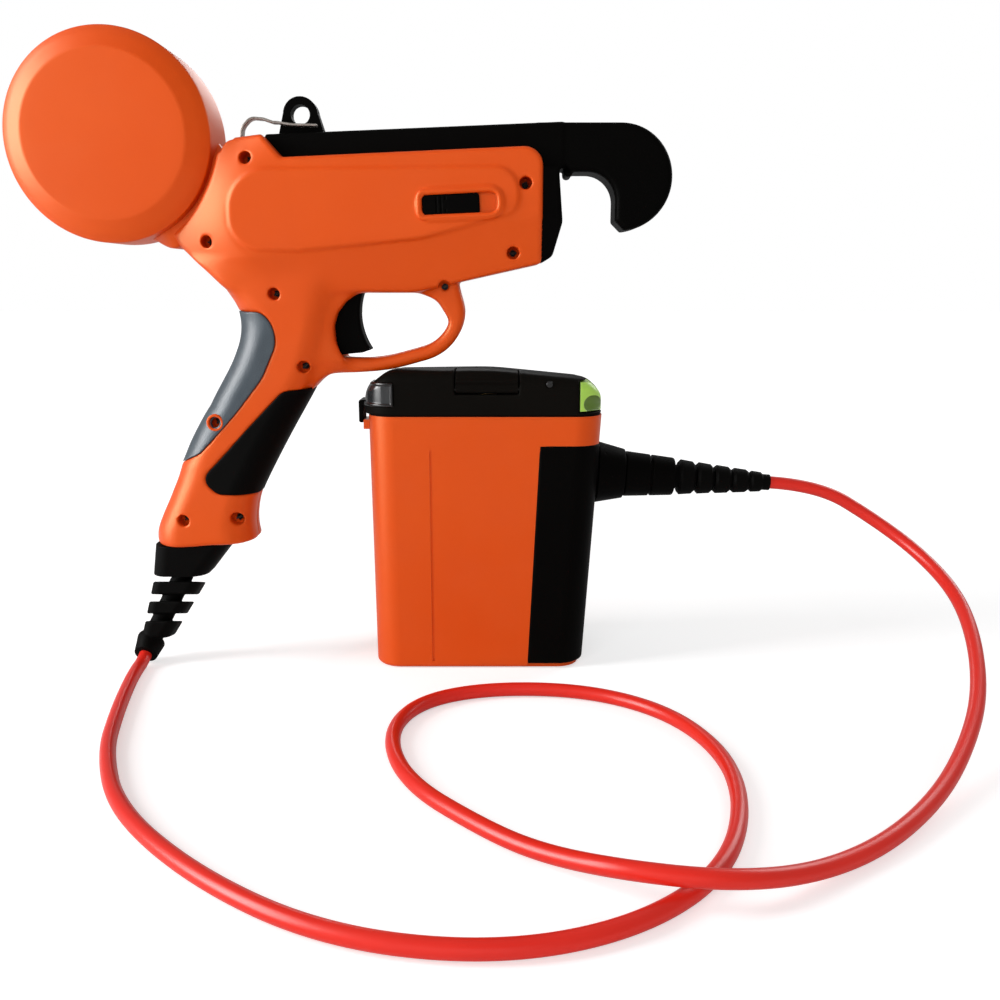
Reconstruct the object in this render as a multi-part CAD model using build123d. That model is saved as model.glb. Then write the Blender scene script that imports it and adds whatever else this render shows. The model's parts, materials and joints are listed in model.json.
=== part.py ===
from build123d import *
import math
import os

# Fits and walls, millimetres
running = 0.4
seat = 0.15
fit = 0.05
wall = 2.5
grip_depth = 2.0
grip_proud = 0.5

# Tool mid-plane, the battery stands on the mid-plane y = 0
tool_y = -17.0

# Ribbon drum at the back of the tool
drum_x = -183.3
drum_z = 276.7
drum_radius = 50.8
drum_half = 16.0
drum_bevel = 4.5
drum_face_radius = 40.0
drum_wall = 2.2
drum_seam = -13.0
drum_gap = 3.0
neck_half = 9.0
neck_depth = 6.5
neck_top_angle = -6.0
neck_low_angle = -61.0
skirt_length = 5.0
spool_hub_radius = 14.0
spool_half = 13.5
spool_clear = 5.0
hub_wall = 3.0
flange = 1.6
roll_radius = 38.0
axle_radius = 4.0

# Receiver, its lower flanks lean in below a rising crease
body_half = 23.0
crease_rise = 0.136
crease_z = 234.6
flank_half = 15.5
flank_drop = 26.0
edge_round = 2.0
crease_round = 10.0
crease_length = 150.0
receiver_outline = [
    (-140.0, 274.5, 0), (-107.0, 277.2, 1.0), (-97.0, 266.1, 3.0), (30.0, 271.6, 9.0), (30.0, 216.0, 2.0),
    (-9.0, 207.4, 15.0), (-34.0, 201.5, 10.0), (-128.0, 201.5, 8.0), (-139.0, 212.3, 10.0),
    (-152.5, 224.5, 4.0), (-160.0, 238.0, 0),
]
panel_raise = 1.2
panel_outline = [
    (-124.3, 260.8, 20.0), (-124.3, 221.5, 16.0), (-90.0, 221.5, 14.0), (-30.0, 227.5, 40.0),
    (18.7, 240.0, 9.0), (18.7, 262.0, 12.0),
]

# Handle: height, rear x, front x and thickness of each section
handle_sections = [
    (212.0, -137.0, -64.0, 40.0), (196.0, -128.0, -74.0, 37.5), (180.0, -126.4, -77.6, 36.5),
    (155.0, -138.3, -87.6, 36.0), (125.0, -153.6, -105.0, 35.0), (97.0, -165.2, -120.0, 35.0),
    (67.0, -175.8, -121.0, 37.0),
]
handle_round = 15.0
handle_floor = 3.5
handle_sole = [(-185.0, 0, 70.0), (-145.0, 0, 70.4), (-105.0, 0, 79.2)]
rear_grip_outline = [
    (-150.0, 194.5, 0), (-115.0, 191.5, 7.0), (-104.0, 178.0, 10.0), (-113.0, 158.5, 25.0),
    (-146.0, 119.5, 12.0), (-160.0, 112.5, 6.0), (-185.0, 108.0, 0),
]
front_grip_outline = [
    (-75.0, 153.5, 0), (-102.5, 152.0, 9.0), (-125.0, 129.0, 30.0), (-146.0, 105.5, 6.0), (-139.0, 98.0, 6.0),
    (-105.0, 96.5, 0), (-75.0, 110.0, 0),
]

# Trigger guard, a swept bow with filled corners
guard_thick = 7.8
guard_width = 14.0
guard_round = 2.8
guard_path = [(-18.0, 212.0), (-11.6, 190.0), (-19.5, 173.5), (-52.0, 164.6), (-100.0, 164.2)]
guard_radii = [16.0, 24.0, 80.0]
guard_front_web = [
    (-40.0, 204.0, 0), (-23.5, 197.8, 10.0), (-15.5, 184.0, 0), (-14.0, 190.0, 0),
    (-17.0, 208.0, 0),
]
guard_rear_web = [
    (-62.0, 161.3, 0), (-80.5, 160.0, 9.0), (-90.0, 145.0, 0), (-100.0, 150.0, 0),
    (-100.0, 164.0, 0),
]

# Trigger
trigger_half = 6.0
trigger_pivot_x = -72.0
trigger_pivot_z = 208.0
trigger_pin_radius = 2.0
trigger_boss_radius = 4.5
trigger_pin_half = 15.0
trigger_slot = (-92.0, -56.0, 168.6, 216.0)
trigger_front = [(-60.0, 0, 205.0), (-63.2, 0, 188.0), (-57.8, 0, 172.6)]
trigger_back = [
    (-57.8, 0, 172.6), (-62.5, 0, 171.0), (-76.0, 0, 169.8), (-80.5, 0, 188.0),
    (-82.5, 0, 206.0), (-78.0, 0, 213.5), (-66.0, 0, 213.5), (-60.0, 0, 205.0),
]
trigger_round = 1.8
spring_radius = 3.3
spring_wire = 0.4
spring_turns = 3
spring_length = 3.2
spring_pocket = 4.1

# Housing screws, places seen on the near side
screw_places = [
    (-115.0, 266.0), (-137.0, 226.5), (-104.5, 201.0), (-91.5, 164.5), (-19.0, 204.5),
    (15.5, 221.0), (21.5, 254.0), (-158.0, 84.0), (-131.0, 85.5), (-139.0, 136.0),
]
boss_radius = 4.0
screw_radius = 1.5
screw_head_radius = 2.4
screw_head = 2.0
screw_head_y = -9.0
screw_tip_y = 9.0

# Hook frame: rail, hook and nose
rail_half = 12.9
rail_outline = [
    (-106.4, 278.1, 0), (40.0, 284.0, 0), (40.0, 262.0, 0), (27.6, 257.5, 0),
    (-104.0, 252.3, 3.0), (-109.5, 262.0, 2.0),
]
channel_half = 9.8
channel_outline = [(-100.0, 274.6, 0), (20.0, 279.2, 0), (20.0, 250.0, 0), (-100.0, 246.0, 0)]
hook_half = 12.5
hook_x = 68.9
hook_z = 257.8
hook_radius = 25.9
throat_x = 52.5
throat_z = 246.3
throat_radius = 13.9
arm_low = 260.2
hook_tip_sum = 303.1
hook_round = 3.0
nose_half = 20.0
nose_back = 27.6
nose_front = 34.0
nose_outline = [
    (27.6, 262.0, 0), (38.4, 262.0, 0), (38.2, 258.5, 0), (40.0, 235.9, 6.0),
    (35.3, 219.5, 4.0), (30.2, 216.3, 0), (27.6, 217.5, 0),
]
nose_inset = 2.4
nose_round = 2.0
bump_x = 43.0
bump_radius = 2.2

# Hanging eye on the rail
eye_x = -90.3
eye_z = 288.3
eye_radius = 8.6
eye_bore = 4.7
eye_half = 4.0
eye_base = [(-102.5, 277.5, 0), (-97.0, 282.9, 5.0), (-83.0, 283.5, 5.0), (-77.8, 278.5, 0)]

# Tie ribbon from the drum over the rail
ribbon_width = 5.0
ribbon_thick = 0.7
ribbon_y = -7.3
ribbon_path = [
    (-122.6, 272.0), (-121.4, 281.5), (-117.0, 286.0), (-111.0, 285.4), (-104.0, 282.0),
    (-94.0, 280.4), (-81.5, 280.2),
]
ribbon_radii = [6.0, 5.0, 6.0, 10.0, 40.0]
ribbon_slot = 0.6

# Twist drive in the nose
twist_z = 243.0
twist_motor_radius = 11.5
twist_motor_back = -38.0
twist_motor_front = 6.0
spindle_radius = 3.0
twist_head_radius = 7.0
twist_head_back = 29.0
twist_head_front = 37.6
ribbon_notch = 2.4
rib_thick = 2.5

# Ribbon feed below the rail
feed_x = -62.0
feed_z = 244.0
feed_motor_radius = 9.5
feed_motor_near = 3.0
feed_motor_far = 18.5
feed_radius = 8.5
pinch_radius = 5.0
nip = 0.6
roller_near = -9.0
roller_far = 1.5
roller_shaft = 1.5
pinch_pin_half = 11.4

# Slide switch on the near side
slider_x = -14.9
slider_z = 243.9
slider_tilt = 2.5
slider_length = 28.0
slider_height = 10.0
slider_corner = 4.0
slider_edge = 0.7
slider_travel = 9.0
slider_rim = 2.9
slider_rim_raise = 1.3
slider_raise = 2.2
slider_ridges = 3
slider_ridge = (1.0, 1.2)
slider_ridge_pitch = 2.2
slider_ridge_start = 7.0
switch_block = (20.0, 7.0, 5.0)
slider_stem = (6.0, 4.0)

# Trigger switch and control board
trigger_switch_box = (-114.0, -94.0, 177.0, 193.0)
trigger_switch_half = 6.0
plunger_radius = 2.0
plunger_length = 9.6
board_box = (-113.0, -77.0, 225.0, 251.0)
board_thick = 1.6
board_face = 18.0
board_post_radius = 2.5
board_chips = [(10.0, 9.0, 9.0), (24.0, 15.0, 6.0), (11.0, 19.0, 5.0)]
chip_tall = 1.5

# Cable boot under the handle
boot_points = [(-147.3, 0.0, 83.0), (-185.6, 0.0, 11.6), (-186.4, -9.0, 6.3)]
boot_bend = 14.0
boot_core = 5.2
boot_left = [(-174.9, 78.0), (-180.1, 49.0), (-189.7, 13.4)]
boot_right = [(-128.9, 78.0), (-151.7, 49.0), (-174.3, 13.4)]
boot_collar = [(78.0, 16.5), (49.0, 13.0)]
boot_collar_round = 9.0
boot_plates = [(45.2, 38.0), (33.9, 26.9), (22.5, 13.7)]
boot_plate_half = 8.2
boot_plate_round = 6.0
boot_plate_edge = 0.6
boot_sleeve = (7.6, 6.2, 9.5)
boot_hole = (60.0, 40.0)
boot_anchor = (7.0, 3.0, 78.2)
boot_bore_gap = 0.4

# Cells
cell_radius = 9.2
cell_height = 65.0
cell_tip = 1.2
cell_space = 1.6
cell_pitch = 2 * cell_radius + cell_space
cell_columns = 5
cell_rows = 2
cell_base = 3.8
cell_room = 3.4
holder_thick = 4.0
holder_edge = 2.0
pack_board = (92.0, 40.0, 1.6)
pack_chips = [(-20.0, 0.0, 16.0, 12.0, 2.4), (22.0, 6.0, 10.0, 10.0, 4.0)]

# Battery pack, its case is sized from the cells and leans out to the right
case_wall = 2.6
panel_thick = 2.0
panel_proud = 0.4
base_length = cell_columns * cell_pitch + 2 * (holder_edge + case_wall + panel_thick + seat)
base_depth = cell_rows * cell_pitch + 2 * (holder_edge + case_wall + panel_thick + cell_room)
base_shift = -2.6
seam_flare = (10.0, 3.5)
seam_shift = 1.2
case_height = 138.5
base_round = 14.0
base_edge = 2.5
seam_length = base_length + seam_flare[0]
seam_depth = base_depth + seam_flare[1]
panel_line = (24.0, 30.0)
panel_corner = 4.0
panel_top = case_height - 15.5
groove_x = -28.0
groove_width = 1.4
groove_depth = 0.9
groove_low = 4.0
groove_top = case_height - 17.5

# Cap, heights above the case and distances in from its ends
cap_lip = 1.0
cap_length = seam_length + 2 * cap_lip
cap_depth = seam_depth + 2 * cap_lip
cap_round = 16.0
cap_seam = 0.8
cap_left = [(-0.5, -18.5, 0), (1.0, 14.0, 12.0), (13.0, 23.4, 16.0)]
cap_crown = (4.0, 24.1, 150.0)
cap_right = [(8.0, 19.1, 12.0), (-0.2, 11.5, 12.0), (-0.5, -18.5, 0)]
cap_edge = 6.0
cap_edge_from = 12.0
cap_wall = 3.0
seal_inset = 0.75
seal_width = 3.85

# Cap furniture
flap_left = -14.0
flap_right = 18.5
flap_back = -12.0
flap_low = case_height + 12.0
flap_thick = 2.4
flap_knuckle = 2.2
flap_pin_radius = 1.0
flap_pin_end = 3.0
well_floor = case_height + 6.5
well_wall = 4.0
well_side = 3.0
well_front = 5.0
port_radius = 5.0
port_bore = 3.6
port_core = 1.2
port_height = 5.0
button_width = 12.5
button_back = -12.0
button_low = case_height + 2.6
button_high = case_height + 18.0
button_travel = 2.5
button_wall = 2.5
button_spring_radius = 2.5
button_spring_wire = 0.4
button_spring_turns = 5
button_spring_pocket = 3.2
button_spring_length = 7.0
dimple_in = 3.5
dimple_inset = 2.0
dimple_z = case_height + 8.0
dimple_size = (6.5, 2.2, 4.6)
window_width = 16.5
window_back = -14.0
window_low = case_height + 5.5
window_high = case_height + 17.5
window_thick = 2.0
lens_x = 34.5
lens_z = case_height + 17.0
lens_radius = 1.7
lens_proud = 0.4
lens_depth = 2.0
clip_y = -12.0
clip_half = 7.0
clip_thick = 2.2
clip_edge = 1.0
clip_root = 12.0
clip_low = case_height - 4.5
clip_high = case_height + 7.5
clip_gap = 0.9
catch_low = case_height - 8.0
catch_high = case_height - 3.0

# Plug on the right end of the case
plug_z = case_height - 34.5
plug_tilt = 3.6
socket_radius = 15.0
socket_depth = 3.0
socket_tail = 12.0
socket_lip = 1.2
barrel_radius = 10.4
barrel_bore = 8.0
barrel_length = 13.0
barrel_seat = 2.0
ring_radius = 17.0
ring_mouth = 13.6
ring_length = 15.0
ring_flutes = 18
flute_radius = 1.3
neck_radius = 8.2
body_radius = 12.6
body_end_radius = 10.4
body_length = 27.5
body_band = 1.2
plug_neck = 6.6
plug_neck_length = 2.5
plug_ribs = [(9.8, 9.2), (8.8, 9.0), (7.9, 9.0), (6.9, 9.0), (5.9, 7.0)]
plug_rib_gap = 1.0
plug_rib_taper = 0.7
plug_rib_edge = 1.3
plug_core = 4.4
plug_sleeve = 3.0

# Power cable, its route lies in front of the pack with one loop
cable_diameter = 7.0
cable_lead = 28.0
cable_route = [
    (-186.0, -42.0, 3.5), (-183.0, -62.0, 3.5), (-175.8, -98.0, 3.5), (-165.5, -139.0, 3.5),
    (-142.0, -188.0, 3.5), (-97.0, -234.0, 3.5), (-47.0, -266.0, 3.5), (7.0, -275.0, 3.5),
    (53.0, -262.0, 3.5), (88.0, -231.0, 3.5), (106.0, -185.0, 3.5), (108.0, -138.0, 3.5),
    (90.0, -95.0, 3.5), (53.0, -69.5, 3.5), (4.0, -66.5, 3.5), (-31.0, -83.0, 3.5),
    (-43.0, -119.0, 3.5), (-30.5, -165.0, 3.5), (3.0, -202.0, 3.5), (25.0, -219.0, 4.2),
    (52.0, -242.0, 17.6), (86.0, -248.0, 17.6), (120.0, -232.0, 4.4), (152.0, -212.0, 3.5),
    (184.0, -181.0, 5.5), (208.0, -152.0, 12.0), (228.0, -120.0, 22.0), (241.0, -84.0, 36.0),
    (246.0, -50.0, 49.0), (237.0, -21.0, 63.0), (217.0, -4.0, 78.0),
]

os.makedirs("parts", exist_ok=True)


def side_face(outline):
    points = [(x, 0, z) for x, z, corner in outline]
    corners = [corner for x, z, corner in outline]
    return make_face(FilletPolyline(*points, radius=corners, close=True))


def slab(face, half):
    return extrude(face, amount=half, dir=(0, 1, 0), both=True)


def block(x, y, z):
    size = [end - start for start, end in (x, y, z)]
    middle = [(start + end) / 2 for start, end in (x, y, z)]
    return Pos(*middle) * Box(*size)


def pin(x, z, radius, near, far):
    return Pos(x, (near + far) / 2, z) * Cylinder(radius, far - near, rotation=(90, 0, 0))


def rod(start, end, radius, z):
    return Pos((start + end) / 2, 0, z) * Cylinder(radius, end - start, rotation=(0, 90, 0))


def turned(profile, x, z):
    points = [(x + radius, y, z) for radius, y in profile]
    axis = Axis((x, 0, z), (0, 1, 0))
    return revolve(make_face(Polyline(*points, close=True)), axis=axis)


def along(path, share):
    return Plane(origin=path @ share, z_dir=path % share, x_dir=(0, 1, 0))


def coil(x, z, radius, wire, near, far, turns):
    height = far - near - 2 * wire
    path = Helix(height / turns, height, radius, center=(x, near + wire, z), direction=(0, 1, 0))
    start = Plane(origin=path @ 0, z_dir=path % 0)
    return sweep(start * RegularPolygon(wire, 6), path=path, is_frenet=True)


def save(node, shape, at_tool=True):
    placed = Pos(0, tool_y, 0) * shape if at_tool else shape
    export_step(placed, "parts/" + node + ".step")


def section_prism(inset):
    half = body_half - inset
    low = flank_half - inset
    lean = (half - low) / flank_drop
    deep = low - lean * flank_drop * 0.5
    profile = [(0, -half, 400), (0, half, 400), (0, half, crease_z), (0, deep, crease_z - 1.5 * flank_drop),
               (0, -deep, crease_z - 1.5 * flank_drop), (0, -half, crease_z)]
    run = 300.0
    return extrude(make_face(Polyline(*profile, close=True)), amount=run, dir=(1, 0, crease_rise), both=True)


def drum_room(extra):
    return pin(drum_x, drum_z, drum_radius + drum_gap + extra, -2 * body_half, 2 * body_half)


def receiver(inset):
    face = side_face(receiver_outline)
    if inset > 0:
        face = offset(face, -inset)
    return slab(face, body_half - inset) & section_prism(inset) - drum_room(inset)


def handle(grow, floor=0.0):
    faces = []
    for z, rear, front, thick in handle_sections:
        size = (front - rear + 2 * grow, thick + 2 * grow)
        rounded = RectangleRounded(*size, handle_round + grow)
        faces.append(Pos((rear + front) / 2, 0, z) * rounded)
    return loft(faces) - Pos(0, 0, floor) * sole_room()


def sole_room():
    start, middle, end = handle_sole
    arc = ThreePointArc(start, middle, end)
    low = handle_sections[-1][0] - handle_round
    below = Polyline(end, (end[0], 0, low), (start[0], 0, low), start)
    return slab(make_face(arc + below), 2 * body_half)


def guard():
    points = [(x, 0, z) for x, z in guard_path]
    path = FilletPolyline(*points, radius=guard_radii)
    bow = sweep(along(path, 0) * RectangleRounded(guard_width, guard_thick, guard_round), path=path)
    for web in (guard_front_web, guard_rear_web):
        bow += slab(side_face(web), guard_width / 2)
    return bow


def side_panels():
    face = side_face(panel_outline)
    plate = slab(face, body_half + panel_raise)
    faces = plate.faces().filter_by(Axis.Y)
    return chamfer(faces.edges(), panel_raise * 0.8)


def grip_room(outline, gap):
    face = offset(side_face(outline), gap) if gap > 0 else side_face(outline)
    return slab(face, 3 * body_half)


def grip(outline):
    skin = handle(grip_proud) - handle(fit - grip_depth)
    return (skin & grip_room(outline, 0)) - screw_rooms()


def grip_pockets():
    skin = handle(5 * grip_proud) - handle(-grip_depth)
    return skin & (grip_room(rear_grip_outline, seat) + grip_room(front_grip_outline, seat))


def screw_bosses(outer):
    bosses = Part() + [pin(x, z, boss_radius, -body_half, body_half) for x, z in screw_places]
    return bosses & outer


def screw_rooms():
    rooms = []
    for x, z in screw_places:
        rooms.append(pin(x, z, screw_head_radius + seat, -2 * body_half, screw_head_y))
        rooms.append(pin(x, z, screw_radius + fit, screw_head_y - 1, screw_tip_y + 1))
    return Part() + rooms


def slider_place():
    face_y = -body_half - panel_raise
    return Pos(slider_x, face_y, slider_z) * Rot(0, -slider_tilt, 0)


def slider_window():
    middle = slider_travel / 2
    rim_size = (slider_length + slider_travel + 2 * slider_rim, slider_height + 2 * slider_rim)
    hole_size = (slider_length + slider_travel + 2 * running, slider_height + 2 * running)
    rim = Box(rim_size[0], 2 * slider_rim_raise, rim_size[1])
    rim = fillet(rim.edges().filter_by(Axis.Y), slider_corner + slider_rim)
    rim = chamfer(rim.faces().sort_by(Axis.Y)[0].edges(), slider_edge)
    hole = Box(hole_size[0], 2 * slider_rim_raise + 2, hole_size[1])
    hole = fillet(hole.edges().filter_by(Axis.Y), slider_corner)
    stem_slot = Box(slider_stem[0] + slider_travel + 2 * running, 4 * wall, slider_stem[1] + 2 * running)
    place = slider_place() * Pos(middle, 0, 0)
    return place * rim, place * hole, place * Pos(0, 2 * wall, 0) * stem_slot


def mode_slider():
    thumb = Box(slider_length, slider_raise, slider_height)
    thumb = fillet(thumb.edges().filter_by(Axis.Y), slider_corner)
    thumb = chamfer(thumb.faces().sort_by(Axis.Y)[0].edges(), slider_edge)
    for step in range(slider_ridges):
        ridge_x = -slider_length / 2 + slider_ridge_start + slider_ridge_pitch * step
        thumb -= Pos(ridge_x, -slider_raise / 2, 0) * Box(*slider_ridge, slider_height - 3 * slider_edge)
    stem = Pos(0, wall, 0) * Box(slider_stem[0], 2 * wall, slider_stem[1])
    floor_y = slider_rim_raise + 1
    lift = Pos(0, floor_y - running / 2 - slider_raise / 2 - 0.1, 0)
    return slider_place() * (lift * thumb + Pos(0, floor_y - wall, 0) * stem)


def drum_profile(inset):
    outer = drum_radius - inset
    face = drum_face_radius - inset
    edge = drum_half + drum_bevel - inset
    return outer, face, edge


def drum_case():
    outer, face, edge = drum_profile(0)
    inner, inner_face, inner_edge = drum_profile(drum_wall)
    cup = turned([(0, edge), (face, edge), (outer, drum_half), (outer, drum_seam), (inner, drum_seam),
                  (inner, drum_half - 0.5), (inner_face, inner_edge), (0, inner_edge)], drum_x, drum_z)
    hub = pin(drum_x, drum_z, axle_radius + hub_wall, spool_half + 2 * running, inner_edge)
    cup = cup + hub - pin(drum_x, drum_z, axle_radius + fit, -edge, inner_edge)
    return cup + drum_neck(0)


def drum_neck(gap):
    low = math.radians(neck_low_angle)
    top = math.radians(neck_top_angle)
    reach = drum_radius + drum_gap + neck_depth
    start = (drum_x, 0, drum_z)
    far = 2 * reach
    wedge = Polyline(start, (drum_x + far * math.cos(low), 0, drum_z + far * math.sin(low)),
                     (drum_x + far, 0, drum_z - far * 0.2),
                     (drum_x + far * math.cos(top), 0, drum_z + far * math.sin(top)), close=True)
    sector = slab(make_face(wedge), neck_half + gap)
    inside = drum_radius - drum_wall / 2 - gap
    neck = pin(drum_x, drum_z, reach + gap, -far, far) - pin(drum_x, drum_z, inside, -far, far)
    neck = neck & sector
    if gap > 0:
        neck = neck + Pos(0, 0, gap) * neck + Pos(0, 0, -gap) * neck
    return neck


def drum_cover():
    outer, face, edge = drum_profile(0)
    inner, inner_face, inner_edge = drum_profile(drum_wall)
    seam = drum_seam - seat
    skirt = inner - running
    lip = drum_seam + skirt_length
    return turned([(0, -edge), (face, -edge), (outer, -drum_half), (outer, seam), (skirt, seam), (skirt, lip),
                   (skirt - drum_wall, lip), (skirt - drum_wall, -drum_half + 0.5), (inner_face, -inner_edge),
                   (0, -inner_edge)], drum_x, drum_z)


def spool():
    bore = axle_radius + running
    rim = drum_radius - drum_wall - running - spool_clear
    return turned([(bore, -spool_half), (rim, -spool_half), (rim, flange - spool_half),
                   (spool_hub_radius, flange - spool_half), (spool_hub_radius, spool_half - flange),
                   (rim, spool_half - flange), (rim, spool_half), (bore, spool_half)], drum_x, drum_z)


def ribbon_roll():
    half = spool_half - flange - seat
    return turned([(spool_hub_radius + seat, -half), (roll_radius, -half), (roll_radius, half),
                   (spool_hub_radius + seat, half)], drum_x, drum_z)


def spool_axle():
    outer, face, edge = drum_profile(drum_wall)
    near = -spool_half - running
    head = pin(drum_x, drum_z, axle_radius + hub_wall, near - flange, near)
    return pin(drum_x, drum_z, axle_radius, near, edge - fit) + head


def tie_ribbon(grow=0.0):
    points = [(x, ribbon_y, z) for x, z in ribbon_path]
    path = FilletPolyline(*points, radius=ribbon_radii)
    section = Rectangle(ribbon_width + 2 * grow, ribbon_thick + 2 * grow)
    return sweep(along(path, 0) * section, path=path)


def ribbon_room():
    return tie_ribbon(ribbon_slot)


def hook_face():
    low = hook_z - 4 * hook_radius
    disc = Pos(hook_x, hook_z) * Circle(hook_radius)
    arm = Polygon((nose_back, arm_low), (hook_x, arm_low), (hook_x, hook_z + hook_radius),
                  (nose_back, hook_z + hook_radius), align=None)
    throat = Pos(throat_x, throat_z) * Circle(throat_radius)
    right = throat_x + throat_radius
    mouth = Polygon((0, low), (right, low), (right, throat_z), (0, throat_z), align=None)
    side = Polygon((0, throat_z), (throat_x, throat_z), (throat_x, arm_low), (0, arm_low), align=None)
    tip = Polygon((0, low), (hook_tip_sum - low, low), (0, hook_tip_sum), align=None)
    return Plane.XZ * (disc + arm - throat - mouth - side - tip)


def hook_frame():
    rail = slab(side_face(rail_outline), rail_half)
    tops = rail.faces().filter_by(Axis.Y).edges().sort_by(Axis.Z)[-2:]
    rail = fillet(tops, hook_round) - slab(side_face(channel_outline), channel_half)
    hook = slab(hook_face(), hook_half)
    rims = hook.faces().filter_by(Axis.Y).edges()
    hook = fillet([edge for edge in rims if edge.center().X > nose_front], hook_round)
    nose = slab(side_face(nose_outline), nose_half) & section_prism(nose_inset)
    fronts = [edge for edge in nose.edges() if edge.center().X > nose_front]
    fronts = [edge for edge in fronts if abs(edge.center().Y) > nose_half / 2]
    nose = fillet(fronts, nose_round)
    bump = pin(bump_x, arm_low, bump_radius, -hook_half + 3, hook_half - 3)
    frame = rail + hook + nose + bump
    frame -= rod(0, 60, twist_head_radius + running, twist_z)
    frame -= pin(feed_x, pinch_z(), roller_shaft + fit, -pinch_pin_half - fit, pinch_pin_half + fit)
    for x, z in screw_places:
        frame -= pin(x, z, boss_radius + 2 * seat, -body_half, body_half)
    return frame - ribbon_room()


def frame_room():
    rail = slab(offset(side_face(rail_outline), seat), rail_half + seat)
    nose = slab(offset(side_face(nose_outline), seat), nose_half + seat) & section_prism(nose_inset - seat)
    return rail + nose


def pinch_z():
    return feed_z + feed_radius + nip + pinch_radius


def hanging_eye():
    foot = slab(side_face(eye_base), eye_half)
    lug = foot + pin(eye_x, eye_z, eye_radius, -eye_half, eye_half)
    lug -= slab(side_face(rail_outline), rail_half)
    return lug - pin(eye_x, eye_z, eye_bore, -2 * eye_half, 2 * eye_half)


def motor_ribs(cavity):
    ribs = Part()
    for x in (twist_motor_back + 3, twist_motor_front - 3 - rib_thick):
        ribs += block((x, x + rib_thick), (-body_half, body_half), (200, 262))
    ribs = ribs & cavity
    ribs -= rod(-100, 60, twist_motor_radius + seat, twist_z)
    cradle_y = (feed_motor_near + feed_motor_far) / 2
    cradle = block((feed_x - 16, feed_x + 16), (cradle_y, cradle_y + rib_thick), (200, 262)) & cavity
    cradle -= pin(feed_x, feed_z, feed_motor_radius + seat, -50, 50)
    return ribs + cradle


def switch_ribs(cavity):
    x0, x1, z0, z1 = trigger_switch_box
    inner = trigger_switch_half + seat
    ribs = Part()
    for side in (-1, 1):
        near, far = sorted((side * inner, side * body_half))
        ribs += block((x0 + 6, x1 - 4), (near, far), (z0 + 5, z0 + 5 + rib_thick))
    return ribs & cavity


def board_posts():
    x0, x1, z0, z1 = board_box
    posts = Part()
    for x in (x0 + 4, x1 - 4):
        for z in (z0 + 4, z1 - 4):
            posts += pin(x, z, board_post_radius, board_face + board_thick, body_half - wall / 2)
    return posts


def pivot_pin(radius, near, far):
    return pin(trigger_pivot_x, trigger_pivot_z, radius, near, far)


def trigger_bosses(cavity):
    bosses = Part()
    for side in (-1, 1):
        near, far = sorted((side * (trigger_half + running), side * body_half))
        bosses += pivot_pin(trigger_boss_radius, near, far)
    return bosses & cavity


def trigger_room():
    x0, x1, z0, z1 = trigger_slot
    return block((x0, x1), (-trigger_half - running, trigger_half + running), (z0, z1))


def rounded_receiver():
    shell = receiver(0)
    crease = [edge for edge in side_edges(shell) if edge.length > crease_length]
    shell = fillet(crease, crease_round)
    rims = [edge for edge in side_edges(shell) if edge.length < crease_length]
    rims = [edge for edge in rims if edge.center().Z > crease_z or edge.center().X > -100]
    return fillet(rims, edge_round)


def side_edges(solid):
    faces = [face for face in solid.faces().filter_by(Axis.Y) if abs(face.center().Y) > body_half - 1]
    return ShapeList(faces).edges()


def rounded_handle():
    solid = handle(0)
    sole = min(solid.faces(), key=lambda face: face.center().Z)
    return fillet(sole.edges(), edge_round)


def tool_outside():
    return rounded_receiver() + side_panels() + rounded_handle() + guard()


def housing(outer):
    cavity = receiver(wall) + handle(-grip_depth - wall, handle_floor)
    solid = outer - cavity - trigger_room()
    solid += screw_bosses(outer) + motor_ribs(cavity) + switch_ribs(cavity)
    solid += board_posts() + trigger_bosses(cavity)
    solid -= grip_pockets() + frame_room() + drum_neck(seat) + ribbon_room()
    rim, hole, stem_slot = slider_window()
    solid = solid + rim - hole - stem_slot
    solid -= pivot_pin(trigger_pin_radius + fit, -trigger_pin_half, trigger_pin_half)
    return solid - screw_rooms() - boot_room()


def halves(solid):
    left = solid & block((-400, 400), (-200, 0), (0, 500))
    right = solid & block((-400, 400), (0, 200), (0, 500))
    return left, right


def housing_screws():
    screws = []
    for x, z in screw_places:
        top = screw_head_y - screw_head
        head = pin(x, z, screw_head_radius, top, screw_head_y)
        head -= Pos(x, top, z) * Box(0.8, 1.6, 3.4)
        screws.append(head + pin(x, z, screw_radius, screw_head_y, screw_tip_y))
    return Compound(children=screws)


def trigger():
    lever = slab(make_face(ThreePointArc(*trigger_front) + Polyline(*trigger_back)), trigger_half)
    front_arcs = [edge for edge in lever.edges() if edge.geom_type == GeomType.CIRCLE]
    lever = fillet(front_arcs, trigger_round)
    lever -= pivot_pin(trigger_pin_radius + fit, -2 * trigger_half, 2 * trigger_half)
    return lever - pivot_pin(spring_pocket, trigger_half - spring_length, 2 * trigger_half)


def trigger_spring():
    ends = (trigger_half - spring_length + running, trigger_half + running)
    return coil(trigger_pivot_x, trigger_pivot_z, spring_radius, spring_wire, *ends, spring_turns)


def trigger_switch():
    x0, x1, z0, z1 = trigger_switch_box
    case = block((x0, x1), (-trigger_switch_half, trigger_switch_half), (z0, z1))
    return case + rod(x1 - 1, x1 + plunger_length, plunger_radius, (z0 + z1) / 2)


def slide_switch():
    length, height, deep = switch_block
    case_y = panel_raise + wall + 1.6 + deep / 2
    return slider_place() * Pos(slider_travel / 2, case_y, 0) * Box(length, deep, height)


def control_board():
    x0, x1, z0, z1 = board_box
    board = block((x0, x1), (board_face, board_face + board_thick), (z0, z1))
    for x, z, size in board_chips:
        board += Pos(x0 + x, board_face - chip_tall / 2, z0 + z) * Box(size, chip_tall, size)
    return board


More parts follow.
